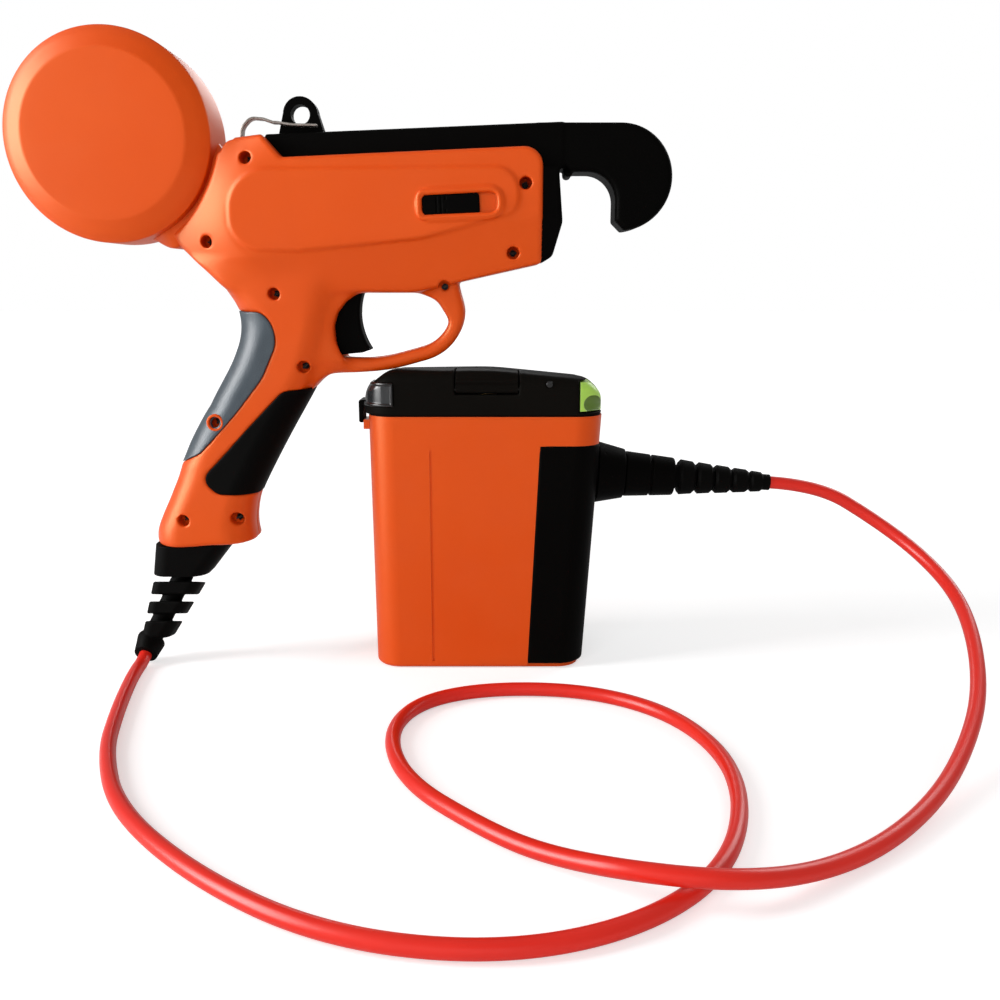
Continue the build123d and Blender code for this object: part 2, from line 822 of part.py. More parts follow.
def twist_motor():
    can = rod(twist_motor_back, twist_motor_front, twist_motor_radius, twist_z)
    can = chamfer(can.edges(), 1.0)
    bearing = rod(twist_motor_front - 1, twist_motor_front + 2.5, 5.0, twist_z)
    tail = rod(twist_motor_back - 2.0, twist_motor_back + 1, 4.0, twist_z)
    bore = rod(twist_motor_front - 6, twist_motor_front + 4, spindle_radius + fit, twist_z)
    return can + bearing + tail - bore


def twist_head():
    spindle = rod(twist_motor_front - 5, twist_head_back + 1, spindle_radius, twist_z)
    head = rod(twist_head_back, twist_head_front, twist_head_radius, twist_z)
    head = chamfer(head.edges().sort_by(Axis.X)[-1], 1.2)
    notch = Pos(twist_head_front, 0, twist_z) * Box(9.0, 3 * twist_head_radius, ribbon_notch)
    return spindle + head - notch


def feed_motor():
    can = pin(feed_x, feed_z, feed_motor_radius, feed_motor_near, feed_motor_far)
    can = chamfer(can.edges(), 0.8)
    return can - pin(feed_x, feed_z, roller_shaft + fit, 0, feed_motor_near + 7)


def feed_roller():
    drum = pin(feed_x, feed_z, feed_radius, roller_near, roller_far)
    teeth = 24
    for step in range(teeth):
        angle = 2 * math.pi * step / teeth
        at = (feed_x + feed_radius * math.cos(angle), feed_z + feed_radius * math.sin(angle))
        drum -= pin(*at, 0.45, roller_near - 1, roller_far + 1)
    return drum + pin(feed_x, feed_z, roller_shaft, roller_far - 1, feed_motor_near + 6)


def pinch_roller():
    tyre = pin(feed_x, pinch_z(), pinch_radius, roller_near, roller_far)
    return tyre - pin(feed_x, pinch_z(), roller_shaft + fit, -20, 20)


def boot_path():
    return FilletPolyline(*boot_points, radius=[boot_bend])


def boot_room():
    path = boot_path()
    tube = sweep(along(path, 0) * Circle(boot_core + boot_bore_gap), path=path)
    top = Plane.XZ * Pos(boot_points[0][0], boot_points[0][2]) * Rectangle(*boot_hole)
    return tube & slab(top, body_half)


def line_x(line, z):
    top, waist, low = line
    start, end = (top, waist) if z > waist[1] else (waist, low)
    return start[0] + (end[0] - start[0]) * (start[1] - z) / (start[1] - end[1])


def boot_section(z, half, corner):
    left = line_x(boot_left, z)
    right = line_x(boot_right, z)
    return Pos((left + right) / 2, 0, z) * RectangleRounded(right - left, 2 * half, corner)


def boot_plate(top, low):
    plate = loft([boot_section(z, boot_plate_half, boot_plate_round) for z in (top, low)])
    rims = plate.faces().filter_by(Axis.Z).edges()
    return chamfer(rims, boot_plate_edge)


def cable_boot():
    path = boot_path()
    boot = sweep(along(path, 0) * Circle(boot_core), path=path)
    collar = loft([boot_section(z, half, boot_collar_round) for z, half in boot_collar])
    boot += collar & Pos(0, 0, -seat) * sole_room()
    for top, low in boot_plates:
        boot += boot_plate(top, low)
    first, last, length = boot_sleeve
    boot += along(path, 1).location * Pos(0, 0, -length / 2) * Cone(first, last, length)
    radius, thick, z = boot_anchor
    lean = (boot_points[1][0] - boot_points[0][0]) / (boot_points[0][2] - boot_points[1][2])
    return boot + Pos(boot_points[0][0] + lean * (boot_points[0][2] - z), 0, z) * Cylinder(radius, thick)


def cable_points():
    path = boot_path()
    leave = path % 1
    start = path @ 1
    ahead = start + leave * ((start.Z - cable_diameter / 2) / -leave.Z)
    first = [(point.X, point.Y + tool_y, point.Z) for point in (start, ahead)]
    end = plug_place() * Pos(plug_length(), 0, 0)
    before = plug_place() * Pos(plug_length() + cable_lead, 0, 0)
    last = [tuple(before.position), tuple(end.position)]
    return [Vector(point) for point in first + cable_route + last]


def cable_radii(points):
    radii = []
    for before, here, after in zip(points, points[1:], points[2:]):
        turn = (here - before).get_angle(after - here)
        shorter = min((here - before).length, (after - here).length)
        radii.append(0.45 * shorter / math.tan(math.radians(turn) / 2))
    return radii


def power_cable():
    points = cable_points()
    radii = cable_radii(points)
    print("cable radii", [round(radius) for radius in radii])
    path = FilletPolyline(*points, radius=radii)
    start = Plane(origin=path @ 0, z_dir=path % 0)
    tube = sweep(start * Circle(cable_diameter / 2), path=path)
    section = math.pi * cable_diameter ** 2 / 4
    print("cable length", round(path.length), "volume share", round(tube.volume / section / path.length, 4))
    return tube


def case_middle(z):
    return base_shift + (seam_shift - base_shift) * z / case_height


def case_span(z):
    share = z / case_height
    return base_length + seam_flare[0] * share, base_depth + seam_flare[1] * share


def case_body(grow, low, high):
    faces = []
    for z in (low, high):
        length, depth = case_span(z)
        plan = RectangleRounded(length + 2 * grow, depth + 2 * grow, base_round + grow)
        faces.append(Pos(case_middle(z), 0, z) * plan)
    return loft(faces, ruled=True)


def side_panel_room(gap):
    low_x, high_x = panel_line
    right = cap_length
    top = panel_top + gap
    outline = [(low_x - gap, -1.0, 0), (high_x - gap, top, panel_corner), (right, top, 0), (right, -1.0, 0)]
    return slab(side_face(outline), cap_depth)


def battery_case():
    solid = case_body(0, 0, case_height)
    solid = fillet(solid.faces().sort_by(Axis.Z)[0].edges(), base_edge)
    catch_y = (clip_y - clip_half, clip_y + clip_half)
    solid += block((-cap_length / 2 - clip_gap + seat, 0), catch_y, (catch_low, catch_high))
    solid -= case_body(-case_wall - panel_thick, case_wall + 1, case_height + 1)
    skin = case_body(5, 0, case_height) - case_body(-panel_thick, -1, case_height + 1)
    solid -= skin & side_panel_room(seat)
    for side in (-1, 1):
        near, far = sorted((0, side * cap_depth))
        strip = block((groove_x, groove_x + groove_width), (near, far), (groove_low, groove_top))
        solid -= strip - case_body(-groove_depth, -1, case_height + 1)
    solid -= plug_place() * plug_rod(-40, 10, barrel_radius + seat)
    return solid - plug_place() * plug_rod(-socket_depth - seat, 20, socket_radius + seat)


def battery_side_panel():
    skin = case_body(panel_proud, base_edge, case_height) - case_body(fit - panel_thick, -1, case_height + 1)
    panel = skin & side_panel_room(0)
    return panel - plug_place() * plug_rod(-20, 20, socket_radius + seat)


def cap_face():
    ends = [(step - cap_length / 2, rise, corner) for step, rise, corner in cap_left]
    ends += [cap_crown]
    ends += [(cap_length / 2 - step, rise, corner) for step, rise, corner in cap_right]
    return side_face([(x, case_height + rise, corner) for x, rise, corner in ends])


def cap_outer():
    low = case_height + cap_seam
    plan = extrude(Pos(0, 0, low) * RectangleRounded(cap_length, cap_depth, cap_round), amount=cap_depth)
    cap = plan & slab(cap_face(), cap_depth)
    crown = [edge for edge in cap.edges() if edge.center().Z > low + cap_edge_from]
    crown = [edge for edge in crown if abs(edge.center().Y) > cap_depth / 2 - 1]
    return fillet(crown, cap_edge)


def cap_inner(inset):
    low = case_height + cap_seam - 1
    plan = RectangleRounded(cap_length - 2 * inset, cap_depth - 2 * inset, cap_round - inset)
    return extrude(Pos(0, 0, low) * plan, amount=cap_depth) & slab(offset(cap_face(), -inset), cap_depth)


def flap_pivot():
    return -cap_depth / 2 + flap_knuckle, flap_low + flap_knuckle


def flap_room(gap):
    sides = (flap_left - gap, flap_right + gap)
    return block(sides, (-cap_depth, flap_back + gap), (flap_low - gap, 2 * case_height))


def flap_rod(radius, start, end):
    y, z = flap_pivot()
    return Pos((start + end) / 2, y, z) * Cylinder(radius, end - start, rotation=(0, 90, 0))


def port_cover(outer):
    y, z = flap_pivot()
    piece = outer & block((flap_left, flap_right), (-cap_depth, flap_back), (z, 2 * case_height))
    piece -= cap_inner(flap_thick)
    piece += flap_rod(flap_knuckle, flap_left, flap_right)
    return piece - flap_rod(flap_pin_radius + fit, flap_left - 5, flap_right + 5)


def port_cover_pin():
    return flap_rod(flap_pin_radius, flap_left - flap_pin_end, flap_right + flap_pin_end)


def port_well(outer):
    sides = (flap_left - well_wall, flap_right + well_wall)
    floor = well_floor - well_wall
    return block(sides, (-cap_depth, flap_back + well_wall), (floor, 2 * case_height)) & outer


def well_room():
    sides = (flap_left + well_side, flap_right - well_side)
    return block(sides, (well_front - cap_depth / 2, flap_back - 1), (well_floor, 2 * case_height))


def charge_port():
    middle = (flap_left + flap_right) / 2
    y = (well_front - cap_depth / 2 + flap_back) / 2
    rim = Pos(middle, y, well_floor + port_height / 2) * Cylinder(port_radius, port_height)
    bore = Pos(middle, y, well_floor + port_height) * Cylinder(port_bore, port_height)
    core = Pos(middle, y, well_floor + port_height / 2) * Cylinder(port_core, port_height - 1)
    return rim - bore + core


def button_room(gap, back):
    height = (button_low - gap, button_high + gap)
    return block((button_left() - gap, cap_length), (-cap_depth, button_back + back), height)


def button_left():
    return cap_length / 2 - button_width


def button_spring_place():
    return (button_left() + cap_length / 2 - cap_wall) / 2, (button_low + button_high) / 2


def release_button(outer):
    x, z = button_spring_place()
    button = outer & button_room(0, 0)
    at = Pos(cap_length / 2 - dimple_in, -cap_depth / 2 + dimple_inset, dimple_z)
    dimple = at * Rot(0, 0, 45) * scale(Sphere(1), by=dimple_size)
    return button - dimple - pin(x, z, button_spring_pocket, button_back - button_spring_length, 0)


def button_spring():
    x, z = button_spring_place()
    near = button_back - button_spring_length + fit
    far = button_back + button_travel + running - fit
    return coil(x, z, button_spring_radius, button_spring_wire, near, far, button_spring_turns)


def button_box(outer):
    gap = running + button_wall
    back = button_back + button_travel + gap
    height = (case_height + cap_wall, 2 * case_height)
    return block((button_left() - gap, cap_length), (-cap_depth, back), height) & outer


def window_room(gap):
    right = window_width - cap_length / 2 + gap
    height = (window_low - gap, window_high + gap)
    return block((-cap_length, right), (-cap_depth, window_back + gap), height)


def level_window(outer):
    return (outer & window_room(0)) - cap_inner(window_thick)


def status_lens():
    front = -cap_depth / 2
    lens = pin(lens_x, lens_z, lens_radius, front - lens_proud, front + lens_depth)
    return fillet(lens.edges().sort_by(Axis.Y)[0], lens_proud)


def strap_clip(outer):
    x = -cap_length / 2 - clip_gap
    y = (clip_y - clip_half, clip_y + clip_half)
    plate = block((x - clip_thick, x), y, (clip_low, clip_high))
    bridge = block((x - clip_thick, x + clip_root), y, (clip_high - clip_thick, clip_high))
    return fillet((plate + bridge).edges().filter_by(Axis.Y).sort_by(Axis.X)[:2], clip_edge) - outer


def battery_cap(outer):
    cap = outer - cap_inner(cap_wall) + port_well(outer) + button_box(outer)
    cap -= block((-cap_length, cap_length), (-cap_depth, cap_depth), (0, case_height + cap_seam))
    cap -= flap_room(running) + well_room()
    cap -= flap_rod(flap_pin_radius + fit, flap_left - flap_pin_end - fit, flap_right + flap_pin_end + fit)
    cap -= button_room(running, button_travel + running)
    cap -= (outer & window_room(seat)) - cap_inner(window_thick + fit)
    return cap - pin(lens_x, lens_z, lens_radius + fit, -cap_depth, -cap_depth / 2 + lens_depth + fit)


def cap_seal():
    rings = []
    for inset in (seal_inset, seal_inset + seal_width):
        rings.append(RectangleRounded(seam_length - 2 * inset, seam_depth - 2 * inset, base_round - inset))
    return extrude(Pos(seam_shift, 0, case_height) * (rings[0] - rings[1]), amount=cap_seam)


def cell_places():
    places = []
    for column in range(cell_columns):
        for row in range(cell_rows):
            x = base_shift + (column - (cell_columns - 1) / 2) * cell_pitch
            y = (row - (cell_rows - 1) / 2) * cell_pitch
            places.append((x, y))
    return places


def battery_cells():
    cells = []
    for x, y in cell_places():
        cell = Pos(x, y, cell_base + cell_height / 2) * Cylinder(cell_radius, cell_height)
        tip = Pos(x, y, cell_base + cell_height + cell_tip / 2) * Cylinder(cell_radius / 3, cell_tip)
        cells.append(cell + tip)
    return Compound(children=cells)


def cell_holders():
    length = cell_columns * cell_pitch + 2 * holder_edge
    depth = cell_rows * cell_pitch + 2 * holder_edge
    plates = []
    for z in (cell_base + holder_thick / 2, cell_base + cell_height - holder_thick / 2):
        plan = RectangleRounded(length, depth, cell_radius)
        plate = Pos(base_shift, 0, z) * extrude(plan, amount=holder_thick / 2, both=True)
        for x, y in cell_places():
            plate -= Pos(x, y, z) * Cylinder(cell_radius + fit, 2 * holder_thick)
        plates.append(plate)
    return Compound(children=plates)


def battery_board():
    length, depth, thick = pack_board
    z = cell_base + cell_height + cell_tip + seat
    board = Pos(base_shift, 0, z + thick / 2) * Box(length, depth, thick)
    for x, y, long, wide, tall in pack_chips:
        board += Pos(x, y, z + thick + tall / 2) * Box(long, wide, tall)
    return board


def plug_place():
    length, depth = case_span(plug_z)
    return Pos(case_middle(plug_z) + length / 2, 0, plug_z) * Rot(0, plug_tilt, 0)


def plug_rod(start, end, radius):
    return Pos((start + end) / 2, 0, 0) * Cylinder(radius, end - start, rotation=(0, 90, 0))


def plug_cone(start, end, first, last):
    return Pos((start + end) / 2, 0, 0) * Cone(first, last, end - start, rotation=(0, 90, 0))


def battery_socket():
    flange_part = plug_rod(-socket_depth, socket_lip, socket_radius)
    barrel = plug_rod(-socket_tail, barrel_length, barrel_radius)
    return plug_place() * (flange_part + barrel - plug_rod(0, barrel_length + 1, barrel_bore))


def plug_ring():
    start = socket_lip + running
    ring = plug_cone(start, start + ring_length, ring_radius, ring_mouth)
    ring -= plug_rod(start - 1, start + ring_length - 2.5, barrel_radius + running)
    ring -= plug_rod(0, start + ring_length + 1, neck_radius + running)
    for step in range(ring_flutes):
        flute = Pos(0, 0, ring_radius + 0.3) * plug_rod(start + 3, start + ring_length + 1, flute_radius)
        ring -= Rot(360 * step / ring_flutes, 0, 0) * flute
    return plug_place() * ring


def plug_start():
    return socket_lip + 2 * running + ring_length


def plug_body():
    start = plug_start()
    nose = plug_rod(barrel_seat, start + 1, barrel_bore - running)
    body = plug_cone(start, start + body_length, body_radius, body_end_radius)
    body = fillet(body.edges(), 1.0)
    middle = start + body_length / 2
    band = plug_rod(middle, middle + body_band, 2 * body_radius) - plug_rod(0, 2 * middle, body_end_radius)
    return plug_place() * (nose + body - band)


def plug_boot_start():
    return plug_start() + body_length


def plug_length():
    ribs = sum(length + plug_rib_gap for radius, length in plug_ribs)
    return plug_boot_start() + plug_neck_length + ribs + plug_sleeve


def plug_boot():
    x = plug_boot_start()
    points = [(x, 0), (x, plug_neck), (x + plug_neck_length, plug_neck)]
    x += plug_neck_length
    for radius, length in plug_ribs:
        end = radius - plug_rib_taper
        points += [(x, radius - plug_rib_edge), (x + plug_rib_edge, radius)]
        x += length
        points += [(x - plug_rib_edge, end), (x, end - plug_rib_edge), (x, plug_core)]
        x += plug_rib_gap
    points += [(plug_length(), plug_core), (plug_length(), 0)]
    profile = Polyline(*[(x, 0, radius) for x, radius in points], close=True)
    return plug_place() * revolve(make_face(profile), axis=Axis.X)


def build_tool():
    outer = tool_outside()
    left, right = halves(housing(outer))
    pieces = {
        "left_housing": left,
        "right_housing": right,
        "housing_screws": housing_screws(),
        "rear_grip": grip(rear_grip_outline),
        "front_grip": grip(front_grip_outline),
        "hook_frame": hook_frame(),
        "hanging_eye": hanging_eye(),
        "drum_case": drum_case() - ribbon_room(),
        "drum_cover": drum_cover(),
        "spool": spool(),
        "ribbon_roll": ribbon_roll(),
        "spool_axle": spool_axle(),
        "tie_ribbon": tie_ribbon(),
        "trigger": trigger(),
        "trigger_pin": pivot_pin(trigger_pin_radius, -trigger_pin_half, trigger_pin_half),
        "trigger_spring": trigger_spring(),
        "trigger_switch": trigger_switch(),
        "mode_slider": mode_slider(),
        "slide_switch": slide_switch(),
        "control_board": control_board(),
        "twist_motor": twist_motor(),
        "twist_head": twist_head(),
        "feed_motor": feed_motor(),
        "feed_roller": feed_roller(),
        "pinch_roller": pinch_roller(),
        "pinch_pin": pin(feed_x, pinch_z(), roller_shaft, -pinch_pin_half, pinch_pin_half),
        "cable_boot": cable_boot(),
    }
    for node, piece in pieces.items():
        save(node, piece)


def build_battery():
    outer = cap_outer()
    pieces = {
        "battery_case": battery_case(),
        "battery_side_panel": battery_side_panel(),
        "battery_cap": battery_cap(outer),
        "cap_seal": cap_seal(),
        "port_cover": port_cover(outer),
        "port_cover_pin": port_cover_pin(),
        "charge_port": charge_port(),
        "release_button": release_button(outer),
        "button_spring": button_spring(),
        "level_window": level_window(outer),
        "status_lens": status_lens(),
        "strap_clip": strap_clip(outer),
        "battery_cells": battery_cells(),
        "cell_holders": cell_holders(),
        "battery_board": battery_board(),
        "battery_socket": battery_socket(),
        "plug_ring": plug_ring(),
        "plug_body": plug_body(),
        "plug_boot": plug_boot(),
        "power_cable": power_cable(),
    }
    for node, piece in pieces.items():
        save(node, piece, at_tool=False)


if __name__ == "__main__":
    build_tool()
    build_battery()
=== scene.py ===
import json
import math

import bmesh
import bpy
import numpy as np
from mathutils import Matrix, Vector


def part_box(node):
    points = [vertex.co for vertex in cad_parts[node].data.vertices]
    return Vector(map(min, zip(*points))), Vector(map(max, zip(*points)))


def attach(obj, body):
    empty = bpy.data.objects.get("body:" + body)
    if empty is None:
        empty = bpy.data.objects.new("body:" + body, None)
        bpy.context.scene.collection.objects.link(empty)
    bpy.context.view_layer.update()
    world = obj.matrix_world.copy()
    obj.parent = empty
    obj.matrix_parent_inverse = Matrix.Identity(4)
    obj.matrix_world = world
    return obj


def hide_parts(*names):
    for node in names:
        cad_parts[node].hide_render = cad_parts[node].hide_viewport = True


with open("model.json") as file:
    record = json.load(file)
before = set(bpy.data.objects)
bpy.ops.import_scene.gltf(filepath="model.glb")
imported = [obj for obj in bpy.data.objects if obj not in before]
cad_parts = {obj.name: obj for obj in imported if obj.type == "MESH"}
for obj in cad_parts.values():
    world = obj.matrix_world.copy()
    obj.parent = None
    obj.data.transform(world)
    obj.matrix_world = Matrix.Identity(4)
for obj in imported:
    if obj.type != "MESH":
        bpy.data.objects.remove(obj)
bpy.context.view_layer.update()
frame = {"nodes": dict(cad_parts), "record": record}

nodes = frame["nodes"]
scene = bpy.context.scene
mm = 0.001
white = (1, 1, 1, 1)
print("frame loaded:", len(nodes), "nodes")

# camera and stage: a lamp not lit shows only in reflections, one not mirrored only lights
cameraLook = {"place": (0.009, -0.547, 0.206), "pitchDown": 12.2, "lens": 36.0, "sensor": 36.0, "clip": 0.01}
stageLook = {"floorSize": 14.0, "floorSink": 0.0002, "floorColour": (0.78, 0.78, 0.78), "floorRoughness": 0.9,
             "lift": (0.50, 1.0), "liftReach": (0.4, 2.4), "worldLight": 0.28, "mirrorShare": 0.12}
lampLook = {
    "leftWindow": {"place": (-1.22, -0.30, 0.64), "aim": (-0.12, -0.03, 0.22), "size": (0.42, 1.05),
                   "power": 15.0},
    "leftCard": {"place": (-1.25, -0.66, 0.42), "aim": (-0.13, -0.03, 0.22), "size": (0.6, 1.0),
                 "power": 18.0, "lit": False},
    "frontFill": {"place": (-0.20, -1.50, 0.50), "aim": (0.0, -0.02, 0.16), "size": (1.4, 1.1),
                  "power": 11.5, "mirrored": False},
    "backCard": {"place": (-0.16, 1.22, 0.70), "aim": (-0.13, 0.0, 0.30), "size": (0.5, 0.3),
                 "power": 2.0, "lit": False},
    "backRim": {"place": (0.95, 0.85, 0.75), "aim": (-0.05, 0.0, 0.2), "size": (0.7, 0.7), "power": 6.0},
}


def addObject(name, data):
    made = bpy.data.objects.new(name, data)
    scene.collection.objects.link(made)
    return made


def makeCamera(look):
    data = bpy.data.cameras.new("photoCamera")
    data.lens = look["lens"]
    data.sensor_width = look["sensor"]
    data.clip_start = look["clip"]
    camera = addObject("photoCamera", data)
    camera.location = look["place"]
    camera.rotation_euler = (math.radians(90 - look["pitchDown"]), 0, 0)
    scene.camera = camera


def makeLamp(name, look):
    data = bpy.data.lights.new(name, "AREA")
    data.energy = look["power"]
    data.shape = "RECTANGLE"
    data.size, data.size_y = look["size"]
    lamp = addObject(name, data)
    lamp.location = look["place"]
    aim = Vector(look["aim"]) - Vector(look["place"])
    lamp.rotation_euler = aim.to_track_quat("-Z", "Y").to_euler()
    lamp.visible_glossy = look.get("mirrored", True)
    lamp.visible_diffuse = look.get("lit", True)


def wire(tree, node, feeds):
    # each input takes a link from another node, or a plain value
    for label, value in feeds.items():
        if isinstance(value, bpy.types.NodeSocket):
            tree.links.new(value, node.inputs[label])
        else:
            node.inputs[label].default_value = value


def addNode(tree, kind, feeds=None, **settings):
    node = tree.nodes.new(kind)
    for key, value in settings.items():
        setattr(node, key, value)
    wire(tree, node, feeds or {})
    return node


def outOf(tree, kind, feeds, **settings):
    # a new node's first output
    return addNode(tree, kind, feeds, **settings).outputs[0]


def addMath(tree, operation, first, second):
    return outOf(tree, "ShaderNodeMath", {0: first, 1: second}, operation=operation)


def newPaint(name):
    paint = bpy.data.materials.new(name)
    paint.use_nodes = True
    return paint, paint.node_tree, paint.node_tree.nodes["Principled BSDF"]


def seenRay(tree, mirrorShare):
    # 1 for what the camera sees, a share of it for mirrored and refracted rays
    path = addNode(tree, "ShaderNodeLightPath").outputs
    mirrored = addMath(tree, "MAXIMUM", path["Is Glossy Ray"], path["Is Transmission Ray"])
    return addMath(tree, "MAXIMUM", path["Is Camera Ray"], addMath(tree, "MULTIPLY", mirrored, mirrorShare))


def makeStage(look):
    mesh = bpy.data.meshes.new("studioFloor")
    half = look["floorSize"] / 2
    corners = [(x * half, y * half, -look["floorSink"]) for x, y in ((-1, -1), (1, -1), (1, 1), (-1, 1))]
    mesh.from_pydata(corners, [], [(0, 1, 2, 3)])
    floor = addObject("studioFloor", mesh)
    paint, tree, shader = newPaint("studioFloor")
    spot = addNode(tree, "ShaderNodeTexCoord").outputs["Object"]
    away = addNode(tree, "ShaderNodeVectorMath", {0: spot}, operation="LENGTH").outputs["Value"]
    # white to the eye far off, with the shadow kept near the tool
    (near, far), (low, high) = look["liftReach"], look["lift"]
    reach = {"Value": away, "From Min": near, "From Max": far, "To Min": low, "To Max": high}
    lift = outOf(tree, "ShaderNodeMapRange", reach)
    glow = addMath(tree, "MULTIPLY", lift, seenRay(tree, look["mirrorShare"]))
    wire(tree, shader, {"Base Color": (*look["floorColour"], 1), "Roughness": look["floorRoughness"],
                        "Specular IOR Level": 0.0, "Emission Color": white, "Emission Strength": glow})
    mesh.materials.append(paint)
    world = bpy.data.worlds.new("studioWorld")
    world.use_nodes = True
    scene.world = world
    tree = world.node_tree
    shares = {"Factor": seenRay(tree, look["mirrorShare"]), "A": look["worldLight"], "B": 1.0}
    strength = outOf(tree, "ShaderNodeMix", shares, data_type="FLOAT")
    wire(tree, tree.nodes["Background"], {"Color": white, "Strength": strength})


makeCamera(cameraLook)
makeStage(stageLook)
for lampName, lampValues in lampLook.items():
    makeLamp(lampName, lampValues)
scene.view_settings.view_transform = "Standard"
print("camera and stage made")

# shader groups
grainLook = {"detail": 3.0, "cellScale": 0.6, "cellShare": 0.5, "blotchDetail": 4.0}
wearLook = {"samples": 4, "gain": 6.0, "patchScale": 160.0, "patchDetail": 5.0}
dustLook = {"tilt": 0.6, "gain": 0.6, "scale": 38.0, "detail": 6.0, "power": 2.0}
vectorInput, maskOutput = ("Vector", "Vector"), [("Mask", "Float")]


def newGroup(name, kind, inputs, outputs):
    group = bpy.data.node_groups.new(name, kind)
    for label, socket, *values in inputs:
        made = group.interface.new_socket(label, in_out="INPUT", socket_type="NodeSocket" + socket)
        for value in values:
            made.default_value = value
    for label, socket in outputs:
        group.interface.new_socket(label, in_out="OUTPUT", socket_type="NodeSocket" + socket)
    return group, group.nodes.new("NodeGroupInput"), group.nodes.new("NodeGroupOutput")


def addNoise(tree, vector, scale, detail):
    return outOf(tree, "ShaderNodeTexNoise", {"Vector": vector, "Scale": scale, "Detail": detail})


def closeMask(group, end, mask):
    wire(group, end, {"Mask": outOf(group, "ShaderNodeClamp", {"Value": mask})})
    return group


def grainGroup(look):
    # fine spark-eroded mould grain: a height for the bump and a tint that goes with it
    inputs = [vectorInput, ("Grain Scale", "Float"), ("Blotch Scale", "Float")]
    outputs = [("Height", "Float"), ("Blotch", "Float")]
    group, start, end = newGroup("mouldGrain", "ShaderNodeTree", inputs, outputs)
    vector, scale = start.outputs["Vector"], start.outputs["Grain Scale"]
    fine = addNoise(group, vector, scale, look["detail"])
    cellScale = addMath(group, "MULTIPLY", scale, look["cellScale"])
    cells = outOf(group, "ShaderNodeTexVoronoi", {"Vector": vector, "Scale": cellScale})
    cells = addMath(group, "MULTIPLY", cells, look["cellShare"])
    blotch = addNoise(group, vector, start.outputs["Blotch Scale"], look["blotchDetail"])
    wire(group, end, {"Height": addMath(group, "ADD", fine, cells), "Blotch": blotch})
    return group


def wearGroup(look):
    # worn edges: where the rounded normal leaves the face's own
    inputs = [vectorInput, ("Width", "Float"), ("Amount", "Float")]
    group, start, end = newGroup("edgeWear", "ShaderNodeTree", inputs, maskOutput)
    bevel = outOf(group, "ShaderNodeBevel", {"Radius": start.outputs["Width"]}, samples=look["samples"])
    pair = {0: bevel, 1: addNode(group, "ShaderNodeNewGeometry").outputs["Normal"]}
    dot = addNode(group, "ShaderNodeVectorMath", pair, operation="DOT_PRODUCT")
    edge = addMath(group, "SUBTRACT", 1.0, dot.outputs["Value"])
    patches = addNoise(group, start.outputs["Vector"], look["patchScale"], look["patchDetail"])
    for factor in (look["gain"], patches, start.outputs["Amount"]):
        edge = addMath(group, "MULTIPLY", edge, factor)
    return closeMask(group, end, edge)


def dustGroup(look):
    # handling haze and settled dust, on faces that look up
    inputs = [vectorInput, ("Amount", "Float")]
    group, start, end = newGroup("handlingDust", "ShaderNodeTree", inputs, maskOutput)
    normal = addNode(group, "ShaderNodeNewGeometry").outputs["Normal"]
    height = addNode(group, "ShaderNodeSeparateXYZ", {0: normal}).outputs["Z"]
    mask = addMath(group, "MULTIPLY", addMath(group, "ADD", height, look["tilt"]), look["gain"])
    cloud = addNoise(group, start.outputs["Vector"], look["scale"], look["detail"])
    for factor in (addMath(group, "POWER", cloud, look["power"]), start.outputs["Amount"]):
        mask = addMath(group, "MULTIPLY", mask, factor)
    return closeMask(group, end, mask)


groups = {"grain": grainGroup(grainLook), "wear": wearGroup(wearLook), "dust": dustGroup(dustLook)}


def placeGroup(tree, key, feeds):
    return addNode(tree, "ShaderNodeGroup", feeds, node_tree=groups[key]).outputs


def mixColour(tree, factor, first, second):
    node = addNode(tree, "ShaderNodeMix", data_type="RGBA")
    sockets = [place for place, socket in enumerate(node.inputs) if socket.enabled]
    colours = [(*value, 1) if isinstance(value, tuple) else value for value in (first, second)]
    wire(tree, node, dict(zip(sockets, (factor, *colours))))
    return [socket for socket in node.outputs if socket.enabled][0]


def mouldedFinish(name, look):
    paint, tree, shader = newPaint(name)
    vector = addNode(tree, "ShaderNodeTexCoord").outputs["Object"]
    scales = {"Grain Scale": look["grainScale"], "Blotch Scale": look["blotchScale"]}
    grain = placeGroup(tree, "grain", {"Vector": vector, **scales})
    wear = placeGroup(tree, "wear", {"Vector": vector, "Width": look["wearWidth"], "Amount": look["wear"]})
    dust = placeGroup(tree, "dust", {"Vector": vector, "Amount": look["dust"]})
    colour = mixColour(tree, grain["Blotch"], look["deep"], look["pale"])
    colour = mixColour(tree, wear["Mask"], colour, look["worn"])
    colour = mixColour(tree, dust["Mask"], colour, look["dustColour"])
    low, high = look["roughness"]
    rough = outOf(tree, "ShaderNodeMapRange", {"Value": grain["Blotch"], "To Min": low, "To Max": high})
    haze = addMath(tree, "MULTIPLY", dust["Mask"], look["dustRoughness"])
    relief = {"Strength": look["bump"], "Distance": look["bumpDepth"], "Height": grain["Height"]}
    wire(tree, shader, {"Base Color": colour, "Roughness": addMath(tree, "ADD", rough, haze),
                        "Normal": outOf(tree, "ShaderNodeBump", relief),
                        "Specular IOR Level": look["specular"], "Specular Tint": (*look["sheen"], 1),
                        "Metallic": look["metallic"], "Coat Weight": look["coat"],
                        "Coat Roughness": look["coatRoughness"]})
    return paint


plasticBase = {"grainScale": 1500.0, "blotchScale": 22.0, "wearWidth": 0.0007, "wear": 0.22, "dust": 0.05,
               "bump": 0.10, "bumpDepth": 0.0002, "dustColour": (0.60, 0.50, 0.42), "dustRoughness": 0.25,
               "specular": 0.5, "sheen": (1.0, 1.0, 1.0), "metallic": 0.0, "coat": 0.0, "coatRoughness": 0.1}


